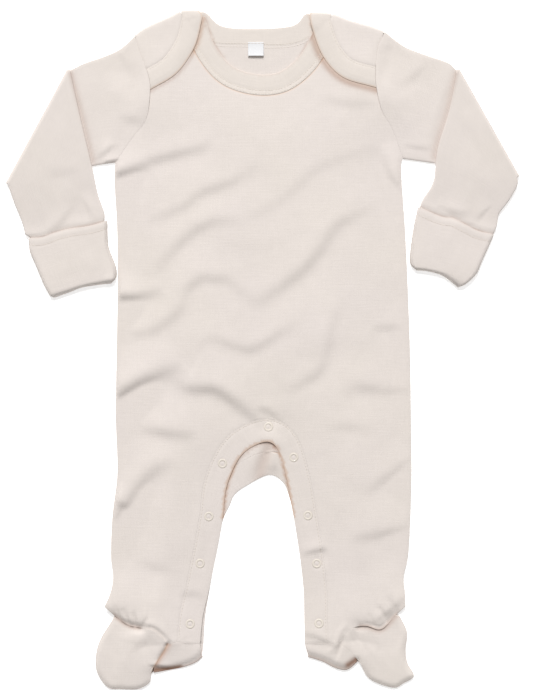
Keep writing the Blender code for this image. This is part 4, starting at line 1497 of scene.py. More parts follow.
@dataclass(frozen=True)
class KnitFinish(Finish):
    """Unbleached cotton interlock: fine wales, soft fibres, a little colour from place to place, and
    painted warm and brown shade.
    """

    creamy: Colour
    wale: float = 0.72
    course: float = 0.62
    depth: float = 0.14
    # The painted warm shade and glow: its strength and its colour; then the painted brown shade's colour
    warmth: float = 0.85
    painted_warm_shade_and_glow: Colour = (0.66, 0.43, 0.28)
    dusk: Colour = (0.32, 0.17, 0.11)

    def make(self) -> bpy.types.Material:
        """Builds the material's nodes."""
        graph = Graph(self.name)
        knit, place = graph.written("knit", "Vector"), graph.place()
        across, along = graph.axes(knit)
        wale = across.math("SINE", across * (2.0 * math.pi / self.wale))
        course = along.math("SINE", along * (2.0 * math.pi / self.course) + wale * 1.2)
        fibre = graph.noise(place, 900.0, 3.0, 0.7)
        streaks = graph.drawn_out(knit, (0.55, 0.05, 0.0)) + graph.drawn_out(knit, (0.06, 0.7, 0.0))
        cloudy, mottle = graph.noise(place, 9.0, 2.0, 0.55), graph.noise(place, 120.0, 3.0, 0.6)
        share = cloudy.math("SMOOTH_MIN", (cloudy - 0.32) * 2.4, 1.0, 0.1)
        base = graph.mix(share, self.colour, self.creamy)
        # Painted warm shade and glow, then painted brown shade, where the mesh's attributes mark them
        base = graph.mix(graph.written("warmth") * self.warmth, base, self.painted_warm_shade_and_glow)
        base = graph.mix(graph.written("dusk"), base, self.dusk)
        shade = 0.925 + mottle * 0.05 + streaks * 0.035 + wale * 0.012 + course * 0.008
        tone = graph.add("ShaderNodeCombineColor", {}, {0: shade, 1: shade, 2: shade})
        base = graph.mix(1.0, base, tone, "MULTIPLY")
        bump = graph.bump(0.55, self.depth, wale * 0.4 + course * 0.3 + fibre * 0.9 + streaks * 1.5)
        graph.feed(Base_Color=base, Normal=bump, Roughness=0.84 + fibre * 0.12, Specular_IOR_Level=0.2)
        return graph.material


@dataclass(frozen=True)
class ThreadFinish(Finish):
    """Spun sewing thread, twisted from strands."""

    def make(self) -> bpy.types.Material:
        """Builds the material's nodes."""
        graph = Graph(self.name)
        settings = {"bands_direction": "DIAGONAL"}
        values = {"Vector": graph.place(), "Scale": 900.0, "Distortion": 2.0}
        strands = graph.add("ShaderNodeTexWave", settings, values, "Fac")
        base = graph.mix(strands, self.colour, self.tinted(0.9))
        bump = graph.bump(0.4, 0.05, strands)
        graph.feed(Base_Color=base, Normal=bump, Roughness=0.7, Sheen_Weight=0.1)
        return graph.material


@dataclass(frozen=True)
class LabelFinish(Finish):
    """White woven ribbon."""

    thread: float = 0.35

    def make(self) -> bpy.types.Material:
        """Builds the material's nodes."""
        graph = Graph(self.name)
        across, along = graph.axes(graph.written("knit", "Vector"))
        turn = 2.0 * math.pi / self.thread
        weave = across.math("SINE", across * turn) * along.math("SINE", along * turn)
        base = graph.mix(weave * 0.5 + 0.5, self.tinted(0.93), self.colour)
        graph.feed(Base_Color=base, Normal=graph.bump(0.4, 0.05, weave), Roughness=0.6 + weave * 0.05)
        return graph.material


@dataclass(frozen=True)
class CapFinish(Finish):
    """Cream enamel baked on a metal ring, darker down its bore and round the outside of its rim."""

    rim: Colour

    def make(self) -> bpy.types.Material:
        """Builds the material's nodes."""
        graph = Graph(self.name)
        speck = graph.noise(graph.place(), 700.0, 3.0, 0.6)
        base = graph.mix(graph.written("warmth"), self.colour, self.rim)
        bump = graph.bump(0.2, 0.03, speck)
        graph.feed(Base_Color=base, Normal=bump, Roughness=0.4 + speck * 0.15, Coat_Weight=0.1)
        return graph.material


@dataclass(frozen=True)
class FloorFinish(Finish):
    """Matt white paper."""

    glow: float

    def make(self) -> bpy.types.Material:
        """Builds the material's nodes."""
        graph = Graph(self.name)
        grain = graph.noise(graph.place(), 400.0)
        base = graph.mix(grain, self.colour, self.tinted(0.995))
        graph.feed(Base_Color=base, Roughness=0.9 + grain * 0.1, Specular_IOR_Level=0.1)
        graph.feed(Emission_Color=(1.0, 1.0, 1.0, 1.0), Emission_Strength=self.glow)
        return graph.material


class Finishes:
    """The suit's materials, each made once."""

    def __init__(self) -> None:
        """Makes the materials."""
        self.cotton = KnitFinish("cotton_interlock", (0.724, 0.659, 0.622), (0.724, 0.662, 0.610)).make()
        self.band = KnitFinish("cotton_band_rib", (0.716, 0.654, 0.598), (0.714, 0.650, 0.604), 0.9).make()
        self.thread = ThreadFinish("cotton_thread", (0.72, 0.655, 0.585)).make()
        self.label = LabelFinish("woven_label", (0.73, 0.73, 0.74)).make()
        self.cap = CapFinish("cream_enamel", (0.705, 0.645, 0.575), (0.54, 0.47, 0.385)).make()


# Stitches


# Along a stitch: the place as a share of its length, and its thickness there
STITCH = ((-0.5, 0.15), (-0.36, 0.8), (0.0, 1.0), (0.36, 0.8), (0.5, 0.15))


@dataclass
class StitchRows:
    """Rows of stitches on the suit's pieces, one object for each row's piece."""

    finish: bpy.types.Material
    length: float = 2.3
    pitch: float = 2.9
    thick: float = 0.5
    sides: int = 6

    def one(self) -> tuple[Array, list[Face]]:
        """Makes one stitch along X.

        Returns:
            Its points and its faces.
        """
        turns = 2.0 * math.pi * np.arange(self.sides) / self.sides
        half = 0.5 * self.thick
        points = [
            (x * self.length, half * r * math.cos(turn), half * r * math.sin(turn))
            for x, r in STITCH
            for turn in turns
        ]
        faces = grid_faces(len(STITCH), self.sides, ring=True)
        faces += [tuple(range(self.sides)), tuple(range(len(points) - self.sides, len(points)))]
        return np.array(points), faces

    def sew(self, name: str, host: Shell, lines: Sequence[Array], slot: str) -> None:
        """Sews rows of stitches onto a piece.

        Args:
            name: The new object's name.
            host: The piece.
            lines: The rows, in the flat layer.
            slot: The record's material slot of the thread; not used.
        """
        shape, shape_faces = self.one()
        points, faces = [], []
        for line in lines:
            places = divided(line, self.pitch)
            runs = np.gradient(places, axis=0)
            for (x, y), (run_x, run_y) in zip(places, runs):
                spot, normal = host.surface(x, y)
                run = Vector((run_x, run_y, 0.0))
                run = (run - normal * run.dot(normal)).normalized()
                first = sum(len(part) for part in points)
                points.append(shape @ np.array([run, normal.cross(run), normal]) + np.array(spot))
                faces += [tuple(first + number for number in face) for face in shape_faces]
        made = add_mesh(name, np.vstack(points), faces, self.finish)
        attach(made, "root")
        log.info("%s: %d stitches", name, len(points))


# Sub-assemblies


@dataclass
class Body:
    """The front and the back, with the envelope neck's bands and the legs' plackets."""

    finishes: Finishes
    drape: Drape
    seam_dip: float = -0.3
    stitch_dip: float = -0.22
    stitch_width: float = 0.8
    shells: dict[str, Shell] = field(default_factory=dict)

    def __post_init__(self) -> None:
        """Works out the lines that the pieces share."""
        self.shoulders = {side: Shoulder(side) for side in Side}
        self.ankles = {side: Ankle(side) for side in Side}
        self.front_opening = opening(FRONT_ARCH)
        self.back_opening = opening(BACK_ARCH)
        self.arch = self.front_opening[self.front_opening[:, 1] > ARCH_FOOT]
        self.front_neck = spline(FRONT_NECK)
        self.neck_seam = beside(self.front_neck, -FRONT_BAND)
        self.neck_rows = [beside(self.front_neck, -(FRONT_BAND - away)) for away in NECK_ROWS]
        self.back_seam = spline(BACK_SEAM)
        self.caps = np.array([centre_of(f"popper_{number}")[:2] for number in CAPS])

    def build(self) -> None:
        """Makes the six pieces."""
        self.make_back()
        self.make_front()
        self.make_front_neck_band()
        self.make_back_neck_band()
        self.make_placket("placket_front", self.front_opening, 1)
        self.make_placket("placket_back", self.back_opening, 0)

    def add(self, name: str, layer: Layer, finish: bpy.types.Material, **more: Any) -> None:
        """Makes a piece of cloth and keeps it by its name."""
        self.shells[name] = Shell(name, layer, finish, **more).build(self.drape)

    def outline(
        self, arch: Path, neck: Array, shoulders: dict[Side, Array], ankle: dict[Side, Array]
    ) -> Array:
        """Goes once round a front or back panel.

        Args:
            arch: The crotch's arch.
            neck: The neck seam, from right to left.
            shoulders: The shoulders' lines, in the outline's direction.
            ankle: The lines across the ankles.

        Returns:
            The closed outline.
        """
        left, right = side_line(Side.LEFT), side_line(Side.RIGHT)
        return outline_of(
            armhole_line(Side.LEFT),
            left,
            spline([left[-1], ankle[Side.LEFT][0]], 1.5),
            ankle[Side.LEFT],
            beside(opening(arch), PLACKET + SEAM_GAP),
            ankle[Side.RIGHT][::-1],
            spline([ankle[Side.RIGHT][0], right[-1]], 1.5),
            right[::-1],
            armhole_line(Side.RIGHT)[::-1],
            shoulders[Side.RIGHT],
            neck,
            shoulders[Side.LEFT],
        )

    @staticmethod
    def rails_of(seams: Sequence[Array], marks: Sequence[Mark]) -> list[Array]:
        """The lines along which a panel needs points."""
        rails = [rail for mark in marks for rail in mark.rails()]
        return rails + [beside(seam, away) for seam in seams for away in (-1.9, -0.9, 0.9, 1.9)]

    def make_back(self) -> None:
        """Makes the back, whose shoulders turn over onto the front."""
        left, right = self.shoulders.values()
        seam = beside(self.back_seam, -SEAM_GAP)[::-1]
        seam = seam[(seam[:, 0] > left.lap_fold[0][0] + 0.6) & (seam[:, 0] < right.lap_fold[0][0] - 0.6)]
        folds = {Side.LEFT: left.lap_fold, Side.RIGHT: right.lap_fold[::-1]}
        ankle = {side: one.back for side, one in self.ankles.items()}
        outline = self.outline(BACK_ARCH, seam, folds, ankle)
        seams = [self.back_seam, beside(self.back_opening, PLACKET), left.lap_seam, right.lap_seam]
        seams += [armhole_line(side) for side in Side]
        marks = [Mark(seam, self.seam_dip, 1.0) for seam in seams]
        lower = flat_layer(outline, 0, self.rails_of(seams[:2], marks[:2]), -1.0)
        laps = [
            (flat_layer(one.lap_outline(), 2, self.rails_of([one.lap_seam], [])), one.lap_fold)
            for one in (left, right)
        ]
        layer = turned_over(lower, laps, (-1.0, 1.0))
        self.add(
            "back_panel",
            layer,
            self.finishes.cotton,
            seams=seams,
            marks=marks,
            painted_shade=self.neck_shade() + self.arch_shade(),
            lift=self.lap_lift(layer.points),
            prop=self.hollow_lift(layer.points),
        )

    def lap_lift(self, points: Array) -> Array:
        """Works out how far the laps' free edges stand off the front.

        Args:
            points: The points of a layer.

        Returns:
            The rise at each point.
        """
        high = smooth_step((points[:, 1] - 252.0) / 30.0)
        stand = 0.3 * high - 0.27 * (1.0 - high)
        near = [bell(distance(points, one.edge, 1.0), 8.0) for one in self.shoulders.values()]
        return np.where(points[:, 2] > 1.5 * LEVEL, stand * sum(near), 0.0)

    def lap_glow(self) -> list[Mark]:
        """Where light through the laps warms what is beside their free edges, painted as a warm glow."""
        left, right = [one.edge for one in self.shoulders.values()]
        return [Mark(left[left[:, 1] > 264.0], 0.5, 2.8), Mark(right, 0.4, 3.2)]

    def lap_shade(self) -> list[Mark]:
        """Painted shade where the laps keep the light off what is beside their free edges."""
        left, right = [one.edge for one in self.shoulders.values()]
        return [Mark(beside(left, 1.0), 0.34, 1.7), Mark(beside(right, -2.6), 0.46, 2.8)]

    def neck_shade(self) -> list[Mark]:
        """Painted shade where the front's neckband keeps the light off the back, below the shoulders."""
        high = self.front_neck[(self.front_neck[:, 1] > 262.0) & (self.front_neck[:, 0] < 43.0)]
        return [Mark(high[high[:, 0] < 0.0], 0.35, 1.3), Mark(high[high[:, 0] > 0.0], 0.28, 1.1)]

    def arch_shade(self) -> list[Mark]:
        """Painted shade where the front keeps the light off the back below the crotch's arch."""
        hollow = spline(CROTCH_CREASES[0].path)
        return [Mark(self.arch, 0.45, 1.5), Mark(hollow, 0.26, 6.0), Mark(self.dot(12.0, -88.0), 0.5, 2.6)]

    def hollow_lift(self, points: Array) -> Array:
        """Works out how far the back stands up below the arch.

        Args:
            points: The points of a layer.

        Returns:
            The rise at each point, with a hollow down the middle.
        """
        place = points[:, :2]
        inner = 1.0 - bell(distance(place, self.back_opening, 1.0), 6.0)
        return np.maximum(inner * lift_of((CROTCH_MOUND, *CROTCH_CREASES), place), 0.0)

    def trouser_lift(self, points: Array) -> Array:
        """How far the legs' ends and the heels stand up at each point."""
        left, right = self.ankles.values()
        return left.fullness(points) + right.fullness(points)

    def make_front(self) -> None:
        """Makes the front."""
        neck = beside(self.front_neck, -(FRONT_BAND + SEAM_GAP))[::-1]
        hems = {}
        for side, inner in zip(Side, (neck[-1], neck[0])):
            hem = beside(spline(SHOULDERS[side]), -SHOULDER_HEM)
            low, high = sorted((inner[0], armhole_line(side)[0][0]))
            hems[side] = hem[(hem[:, 0] > low + 2.0) & (hem[:, 0] < high - 2.0)][::-1]
        ankles = self.ankles.values()
        outline = self.outline(FRONT_ARCH, neck, hems, {one.side: one.trouser for one in ankles})
        placket_seam = beside(self.front_opening, PLACKET)
        seams = [self.neck_seam, placket_seam, *[armhole_line(side) for side in Side]]
        dips = (self.seam_dip, -0.1, -0.05, -0.05)
        marks = [Mark(seam, dip, 1.0) for seam, dip in zip(seams, dips)]
        marks += [Mark(one.over, -0.5, 2.4) for one in ankles]
        fine = [beside(one.trouser, -one.side.sign * away) for one in ankles for away in LIP_RAILS]
        seams += [line for one in ankles for line in (one.butt, one.heel_seam)]
        layer = flat_layer(outline, 1, self.rails_of(seams, marks), 1.0, fine)
        self.add(
            "front_panel",
            layer,
            self.finishes.cotton,
            seams=seams,
            marks=marks,
            # Painted warm glow beside the laps and painted warm shade along the neck seam; painted shade
            # beside the laps and under the legs' lips
            painted_warm_shade_and_glow=[*self.lap_glow(), Mark(self.neck_seam, 0.5, 1.0)],
            painted_shade=[*self.lap_shade(), *[Mark(one.over, 0.4, 1.8) for one in ankles]],
            lift=self.trouser_lift(layer.points),
        )

    def make_front_neck_band(self) -> None:
        """Makes the band of the front's neckline."""
        marks = [Mark(row, self.stitch_dip, self.stitch_width) for row in self.neck_rows]
        marks.append(Mark(self.neck_seam, 0.25, 2.4))
        outline = outline_of(self.front_neck, self.neck_seam[::-1])
        layer = flat_layer(outline, 1, self.rails_of([self.neck_seam], marks))
        grain_along(layer, self.front_neck)
        self.add(
            "neck_band_front",
            layer,
            self.finishes.band,
            marks=marks,
            # Painted warm glow and painted shade beside the laps, and painted shade along the band's inner
            # edge
            painted_warm_shade_and_glow=self.lap_glow(),
            painted_shade=[*self.lap_shade(), Mark(self.front_neck, 0.22, 0.8)],
        )

    def make_back_neck_band(self) -> None:
        """Makes the band round the left lap, the back of the neck and the right lap."""
        left, right = both = [self.shoulders[side] for side in Side]
        neck, seam = spline(BACK_NECK)[1:-1], self.back_seam[1:-1]
        outline = outline_of(left.band_fold[::-1], neck, right.band_fold, seam[::-1])
        seams = [self.back_seam, left.band_seam, right.band_seam]
        marks = [Mark(seam, self.seam_dip, 1.0) for seam in seams]
        lower = flat_layer(outline, 0, self.rails_of(seams[:1], marks[:1]), -1.0)
        upper = [Mark(one.stitch_row, self.stitch_dip, self.stitch_width) for one in both]
        laps = []
        for one in both:
            upper.append(Mark(one.edge, -0.65, 2.6))
            lap = flat_layer(one.band_outline(), 2, self.rails_of([one.band_seam], upper))
            grain_along(lap, one.edge)
            laps.append((lap, one.band_fold))
        layer = turned_over(lower, laps, (-1.0, 1.0))
        self.add(
            "neck_band_back",
            layer,
            self.finishes.band,
            seams=seams,
            marks=marks + upper,
            # Painted warm shade and painted shade on the laps' rims, and painted shade below the front's
            # neckband
            painted_warm_shade_and_glow=[Mark(one.edge, 0.5, 0.7) for one in both],
            painted_shade=[Mark(one.edge, 0.05, 0.8) for one in both] + self.neck_shade(),
            lift=self.lap_lift(layer.points),
        )

    def make_placket(self, name: str, line: Array, level: int) -> None:
        """Makes a band down the legs' opening, which the fasteners go through.

        Args:
            name: Its node.
            line: Its free edge.
            level: 1 for the front's, 0 for the back's.
        """
        seam = beside(line, PLACKET)
        marks = [Mark(seam, -0.1, 1.0)]
        marks.append(Mark(beside(line, PLACKET - PLACKET_ROW), self.stitch_dip, self.stitch_width))
        rails = self.rails_of([seam], marks) + (self.cap_rails() if level else [])
        layer = flat_layer(outline_of(line, seam[::-1]), level, rails, 1.0 if level else -1.0)
        grain_along(layer, line)
        # Painted shade: on the back's placket under the arch and in its hollow, on the front's along the
        # arch's edge
        more: dict[str, Any] = {"prop": self.hollow_lift(layer.points), "painted_shade": self.arch_shade()}
        if level:
            marks += [Mark(self.dot(x, y), 0.3, 1.7) for x, y in self.caps]
            marks += [Mark(self.ring(x, y, 3.3), -0.25, 1.1) for x, y in self.caps]
            more = {"lift": self.trouser_lift(layer.points), "painted_shade": [Mark(self.arch, 0.36, 0.7)]}
        ends = [one.heel_seam if level else one.back_end for one in self.ankles.values()]
        # Painted warm shade along the arch's edge
        painted_warm_shade_and_glow = [Mark(self.arch, 0.75, 1.0)]
        self.add(name, layer, self.finishes.cotton, seams=[seam, *ends], marks=marks, painted_warm_shade_and_glow=painted_warm_shade_and_glow, **more)

    @staticmethod
    def ring(x: float, y: float, radius: float) -> Array:
        """A circle round a place."""
        turns = np.linspace(0.0, 2.0 * math.pi, 25)
        return np.column_stack([x + radius * np.cos(turns), y + radius * np.sin(turns)])

    @staticmethod
    def dot(x: float, y: float) -> Array:
        """A very short line at a place."""
        return np.array([(x - 0.2, y), (x + 0.2, y)])

    def cap_rails(self) -> list[Array]:
        """Circles round each fastener, along which the placket needs points."""
        return [self.ring(x, y, r) for x, y in self.caps for r in CAP_RAILS]

    def sew(self, stitches: StitchRows) -> None:
        """Sews the rows of stitches on the bands.

        Args:
            stitches: What sews them.
        """
        laps = [one.stitch_row for one in self.shoulders.values()]
        inner = self.back_seam[(self.back_seam[:, 0] > -52) & (self.back_seam[:, 0] < 42)]
        row = beside(self.front_opening, PLACKET - PLACKET_ROW)[2:-2]
        for name, host, rows in (
            ("neck_band_front", "neck_band_front", self.neck_rows),
            ("lap", "neck_band_back", laps),
            ("neck_seam", "neck_band_back", [beside(inner, 1.5)]),
            ("neck_lower", "back_panel", [beside(inner, -1.7)]),
            ("placket", "placket_front", [row]),
        ):
            stitches.sew(f"{name}_stitches", self.shells[host], rows, "cotton_band")


def centre_of(node: str) -> Array:
    """The middle of a frame node's box, in millimetres."""
    low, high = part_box(node)
    return np.array((low + high) / 2.0) / MM


# Painted shade beside a sleeve's folded forearm: how far away it is darker, how dark, and how wide
FOLD_SHADES = ((1.3, 0.18, 1.9), (2.8, 0.1, 3.0))


@dataclass
class Sleeve:
    """A sleeve's tube, folded over the front so that its end points down, and its fold-over mitt."""

    side: Side
    finishes: Finishes
    drape: Drape
    columns: int = 52
    step: float = 2.1
    hem: float = 7.0
    sag: float = 0.8
    sag_length: float = 42.0
    full: float = 1.6
    rounding: float = 3.6
    thinnest: float = 0.35

    def build(self, stitches: StitchRows) -> None:
        """Makes the sleeve and the mitt, and sews the mitt's hem.

        Args:
            stitches: What sews the hem.
        """
        seam, mouth = armhole_line(self.side), spline(ARMS[self.side].mouth)
        layer, finish = self.tube(), self.finishes.cotton
        Shell(
            f"sleeve_{self.side.value}",
            layer,
            finish,
            seams=[seam],
            marks=[Mark(seam, -0.05, 1.2)],
            painted_shade=self.shadow_lines(),
            lift=self.head_lift(layer.points),
        ).build(self.drape)
        hem = beside(mouth, -self.side.sign * self.hem)
        marks = [Mark(hem, -0.2, 0.9), Mark(mouth, -0.4, 1.4)]
        # Painted shade along the mitt's hem and its mouth
        painted_shade = [Mark(hem, 0.07, 0.8), Mark(mouth, 0.16, 0.7)]
        mitt = Shell(f"mitt_{self.side.value}", self.pouch(), finish, marks=marks, painted_shade=painted_shade)
        stitches.sew(f"{mitt.name}_stitches", mitt.build(self.drape), [hem[2:-2]], "cotton")

    def shadow_lines(self) -> list[Mark]:
        """Finds where the folded forearm and the mitt keep the light off the sleeve, which is painted as
        shade.

        Returns:
            The lines beside the fold, and the mitt's mouth.
        """
        arm = ARMS[self.side]
        edge = spline([arm.top, *[span.ends()[0] for span in arm.forearm]])
        edge = edge[(edge[:, 1] > arm.armhole[-1][1]) & (edge[:, 1] < arm.top[1] - 3.0)]
        fold = [Mark(beside(edge, -away * self.side.sign), deep, wide) for away, deep, wide in FOLD_SHADES]
        return [*fold, Mark(spline(arm.mouth), 0.3, 1.1)]

    def head_lift(self, points: Array) -> Array:
        """Works out how far the sleeve stands up beside the lap and in the mitt's mouth.

        Args:
            points: The sleeve's points.

        Returns:
            The rise at each point.
        """
        line = armhole_line(self.side)
        head = line[line[:, 1] > LAPS[self.side][-1][1] - 6.0]
        low = points[:, 2] < LEVEL + CLOTH
        lift = np.where(low, 1.5 * bell(distance(points, head), 15.0), 0.0)
        mouth = spline(ARMS[self.side].mouth, 1.0)
        away, number = Nearness(mouth).of(points)
        above = points[:, 1] > mouth[number, 1]
        full = 0.6 * bell(away - 3.0, 6.0) * smooth_step((away - 0.2) / 3.5)
        return lift + np.where(above, full, 0.0)

    def between(self, start: Any, end: Any, height: float) -> Array:
        """A middle line across the tube.

        Args:
            start: The tube's inner edge.
            end: Its outer edge.
            height: Its height above the surface.

        Returns:
            The points of the line, closer together at the edges.
        """
        start, end = np.array(start, float), np.array(end, float)
        inset = (end - start) / np.hypot(*(end - start)) * 0.5 * (LEVEL + CLOTH)
        flat = start + inset + (end - start - 2 * inset) * self.shares()
        return at_height(flat, height)

    def shares(self) -> Array:
        """How far across the tube each of its columns lies."""
        even = np.linspace(0.0, 1.0, self.columns)
        return (0.6 * even + 0.4 * 0.5 * (1.0 - np.cos(math.pi * even)))[:, None]

    def on_line(self, line: Array, trim: float) -> Array:
        """Puts the tube's columns along a curved line.

        Args:
            line: The line.
            trim: How much is left out at each end.

        Returns:
            A point for each column.
        """
        along = np.concatenate([[0.0], np.cumsum(np.hypot(*np.diff(line, axis=0).T))])
        wanted = trim + (along[-1] - 2.0 * trim) * self.shares()[:, 0]
        return np.column_stack([np.interp(wanted, along, part) for part in line.T])

    def tube(self) -> Layer:
        """Makes the sleeve's layer.

        Returns:
            The upper arm, the half turn at the elbow, and the forearm above it, as one tube.
        """
        arm = ARMS[self.side]
        half, radius = 0.5 * LEVEL, LEVEL
        low = half + 0.5 * CLOTH
        seam = self.on_line(spline(arm.armhole, 1.0), low)
        fold = self.between(arm.top, arm.underarm, low)
        run = fold[-1, :2] - fold[0, :2]
        run /= np.hypot(*run)
        out = np.array([run[1], -run[0]])
        if np.dot(out, fold[0, :2] - seam[0]) < 0:
            out = -out
        fold[:, :2] -= out * (radius + half + 0.5 * CLOTH)
        towards = fold[:, :2] - seam
        seam = seam + towards / np.hypot(*towards.T)[:, None] * SEAM_GAP
        upper = [at_height(seam, low), *[self.between(*span.ends(), low) for span in arm.upper]]
        rings = [Ring(row, half) for row in spline([*upper, fold], self.step)[:-1]]
        for number in range(TURN_STEPS + 1):
            tilt = math.pi * number / TURN_STEPS
            middle = fold + np.array([*(out * radius * math.sin(tilt)), radius * (1.0 - math.cos(tilt))])
            rings.append(Ring(middle, half, tilt, (-out[0], -out[1])))
        lower = [fold + (0.0, 0.0, 2 * radius)]
        for span in arm.forearm + arm.wrist:
            row = self.between(*span.ends(), low + 2 * radius)
            row[:, 2] -= self.drop(row)
            lower.append(row)
        rings += [Ring(row, half, math.pi, (-out[0], -out[1])) for row in spline(lower, self.step)[1:]]
        return tube_layer(rings)

    def drop(self, row: Array) -> Array:
        """Lets the forearm down beyond the upper arm, before it goes into the mitt.

        Args:
            row: Points across the forearm.

        Returns:
            How far each of them comes down.
        """
        arm = ARMS[self.side]
        under = np.array(arm.underarm) - np.array(arm.armhole[-1])
        under /= np.hypot(*under)
        away = row[:, :2] - np.array(arm.armhole[-1])
        below = np.abs(away[:, 0] * under[1] - away[:, 1] * under[0])
        past = np.where(away[:, 1] < away[:, 0] * under[1] / under[0], below, 0.0)
        return self.sag * LEVEL * smooth_step(past / self.sag_length)

    def pouch(self) -> Layer:
        """Makes the mitt's layer.

        Returns:
            A tube that is open at its mouth, and rounded and closed at its tip.
        """
        arm = ARMS[self.side]
        full = self.full * LEVEL
        trim = full + 0.5 * CLOTH
        rows = [self.on_line(spline(arm.mouth, 1.0), trim)]
        rows += [self.on_line(np.array(span.ends()), trim) for span in arm.mitt]
        tip = self.on_line(spline(arm.tip, 1.0), 0.8 * trim)
        down = tip.mean(axis=0) - rows[-1].mean(axis=0)
        down /= np.hypot(*down)
        rows.append(tip - down * 0.5 * CLOTH)
        flat = spline(rows, 1.6)
        away = np.hypot(*(flat[-1].mean(axis=0) - flat.mean(axis=1)).T)
        rings = []
        grown = full + 0.3 * smooth_step((away[0] - away - 10.0) / 32.0)
        for row, length, tall in zip(flat[:-1], away[:-1], grown):
            taper = math.sqrt(1.0 - (1.0 - min(1.0, length / self.rounding)) ** 2)
            thick = max(tall * taper, self.thinnest)
            rings.append(Ring(at_height(row, tall + 0.5 * CLOTH), thick))
        return tube_layer(rings, at_height(flat[-1], grown[-1] + 0.5 * CLOTH))


@dataclass
class FootPieces:
    """A foot: the toe's upper, and the sole, which turns up round the heel."""

    side: Side
    finishes: Finishes
    body: Body
    puff: float = 1.6
    tuck: float = 8.0
    step: float = 0.3

    def build(self) -> None:
        """Makes both pieces."""
        foot, ankle, sign = FEET[self.side], self.body.ankles[self.side], self.side.sign
        left, cotton = self.side is Side.LEFT, self.finishes.cotton
        toe, toe_side, fold = spline(foot.toe, 1.6), spline(foot.toe_side, 1.2), ankle.fold
        # Painted warm shade along the left toe's edge beside the heel
        painted_warm_shade_and_glow = [Mark(toe_side, 0.7, 1.0)] if left else []
        hidden = beside(ankle.over, -sign * self.tuck)[2:-2]
        outline = outline_of(toe, toe_side, ankle.butt[::-1] - (0.0, SEAM_GAP), hidden[::-1])
        rails = [beside(line, away) for line in (toe, toe_side, ankle.trouser) for away in TOE_RAILS]
        layer = flat_layer(outline, 1, (), 1.0, rails, FOOT_STEP)
        self.body.add(
            f"foot_upper_{self.side.value}",
            layer,
            cotton,
            seams=[ankle.butt] if left else [ankle.butt, toe_side],
            marks=[Mark(ankle.butt, 0.35, 1.6)] if left else [],
            painted_warm_shade_and_glow=painted_warm_shade_and_glow,
            # Painted shade under the leg's lip
            painted_shade=[Mark(ankle.over, 0.45, 2.0) if left else Mark(ankle.over, 0.36, 3.2)],
            lift=self.toe_lift(layer.points, toe_side),
        )
        lower = flat_layer(outline_of(toe, fold, ankle.back_end[::-1] - (0.0, SEAM_GAP)), 0, (), -1.0)
        lap_side = toe_side[::-1] - (sign * SEAM_GAP, 0.0)
        outline = outline_of(fold, ankle.heel_seam - (0.0, SEAM_GAP), lap_side[1:-1])
        lap = flat_layer(outline, 1, (), 1.0, [beside(fold, away) for away in HEEL_RAILS], FOOT_STEP)
        layer = turned_over(lower, [(lap, fold)], (sign,))
        self.body.add(
            f"sole_{self.side.value}",
            layer,
            cotton,
            seams=[ankle.heel_seam, ankle.back_end, toe_side],
            painted_warm_shade_and_glow=painted_warm_shade_and_glow,
            # Painted shade under the heels and beside the toes
            painted_shade=[Mark(spline(path), depth, width) for path, depth, width in HEEL_SHADES[self.side]],
            lift=ankle.fullness(layer.points),
        )

    def toe_lift(self, points: Array, toe_side: Array) -> Array:
        """How far the toe stands up: puffed in its middle, low where the leg hangs over it.

        Args:
            points: The toe's points.
            toe_side: The toe's edge beside the heel.

        Returns:
            The rise at each point.
        """
        foot, ankle = FEET[self.side], self.body.ankles[self.side]
        rim = distance(points, spline(foot.toe, 1.0))
        over, number = Nearness(ankle.over).of(points)
        joined = distance(points, np.vstack([ankle.butt, toe_side]))
        beyond = (points[:, 1] < ankle.over[number, 1]) & (over > 0.1)
        puffed = self.puff * (1.0 - bell(rim, 2.4))
        puffed *= 0.25 * smooth_step(over / 5.0) + 0.75 * smooth_step(over / 34.0)
        puffed += lift_of(TOE_CREASES, points[:, :2])
        share = bell(joined, 4.5 + 8.0 * smooth_step(over / 14.0))
        step = self.step if self.side is Side.LEFT else 0.0
        raised = smooth_step(over / 7.0) * share * (ankle.fullness(points) + step)
        return np.where(beyond, (1.0 - share) * puffed + raised, 0.0)


@dataclass
class NeckLabel:
    """The bare woven label that is sewn into the back neck seam and curls off the cloth."""

    finishes: Finishes
    curl: float = 1.6
    wall: float = 0.5
    short: float = 1.5
    points: int = 19

    def build(self, stitches: StitchRows) -> None:
        """Makes the label with its short row of stitches.

        Args:
            stitches: What sews it on.
        """
        low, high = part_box("neck_label")
        left, right, bottom, top = low.x / MM, high.x / MM, low.y / MM + self.short, high.y / MM
        columns, rows = np.linspace(left, right, self.points), np.linspace(bottom, top, self.points)
        flat = np.array([(x, y) for y in rows for x in columns])
        share = (top - flat[:, 1]) / (top - bottom)
        arch = np.sin(math.pi * (flat[:, 0] - left) / (right - left))
        height = LEVEL + 0.5 * self.wall + self.curl * share**2 + 0.25 * arch * share
        normals = np.tile([0.0, 0.0, 1.0], (len(flat), 1))
        layer = Layer(at_height(flat, height), normals, grid_faces(self.points, self.points), flat)
        label = Shell("neck_label", layer, self.finishes.label, wall=self.wall).build(None)
        row = np.array([(left + 1.0, top - 1.2), (right - 1.0, top - 1.2)])
        stitches.sew("label_stitches", label, [row], "label")


# A ring's section: how far from its bore or from its rim, how high, and how much darker it is there
CAP_BORE = ((0.0, -0.4, 1.0), (0.0, 0.08, 0.9), (0.15, 0.18, 0.35), (0.4, 0.26, 0.0), (0.8, 0.3, 0.0))
CAP_RIM = (
    (0.7, 0.28, 0.0), (0.32, 0.2, 0.1), (0.08, 0.06, 0.5),
    (0.0, -0.1, 1.0), (0.05, -0.28, 1.0), (0.3, -0.4, 1.0),
)


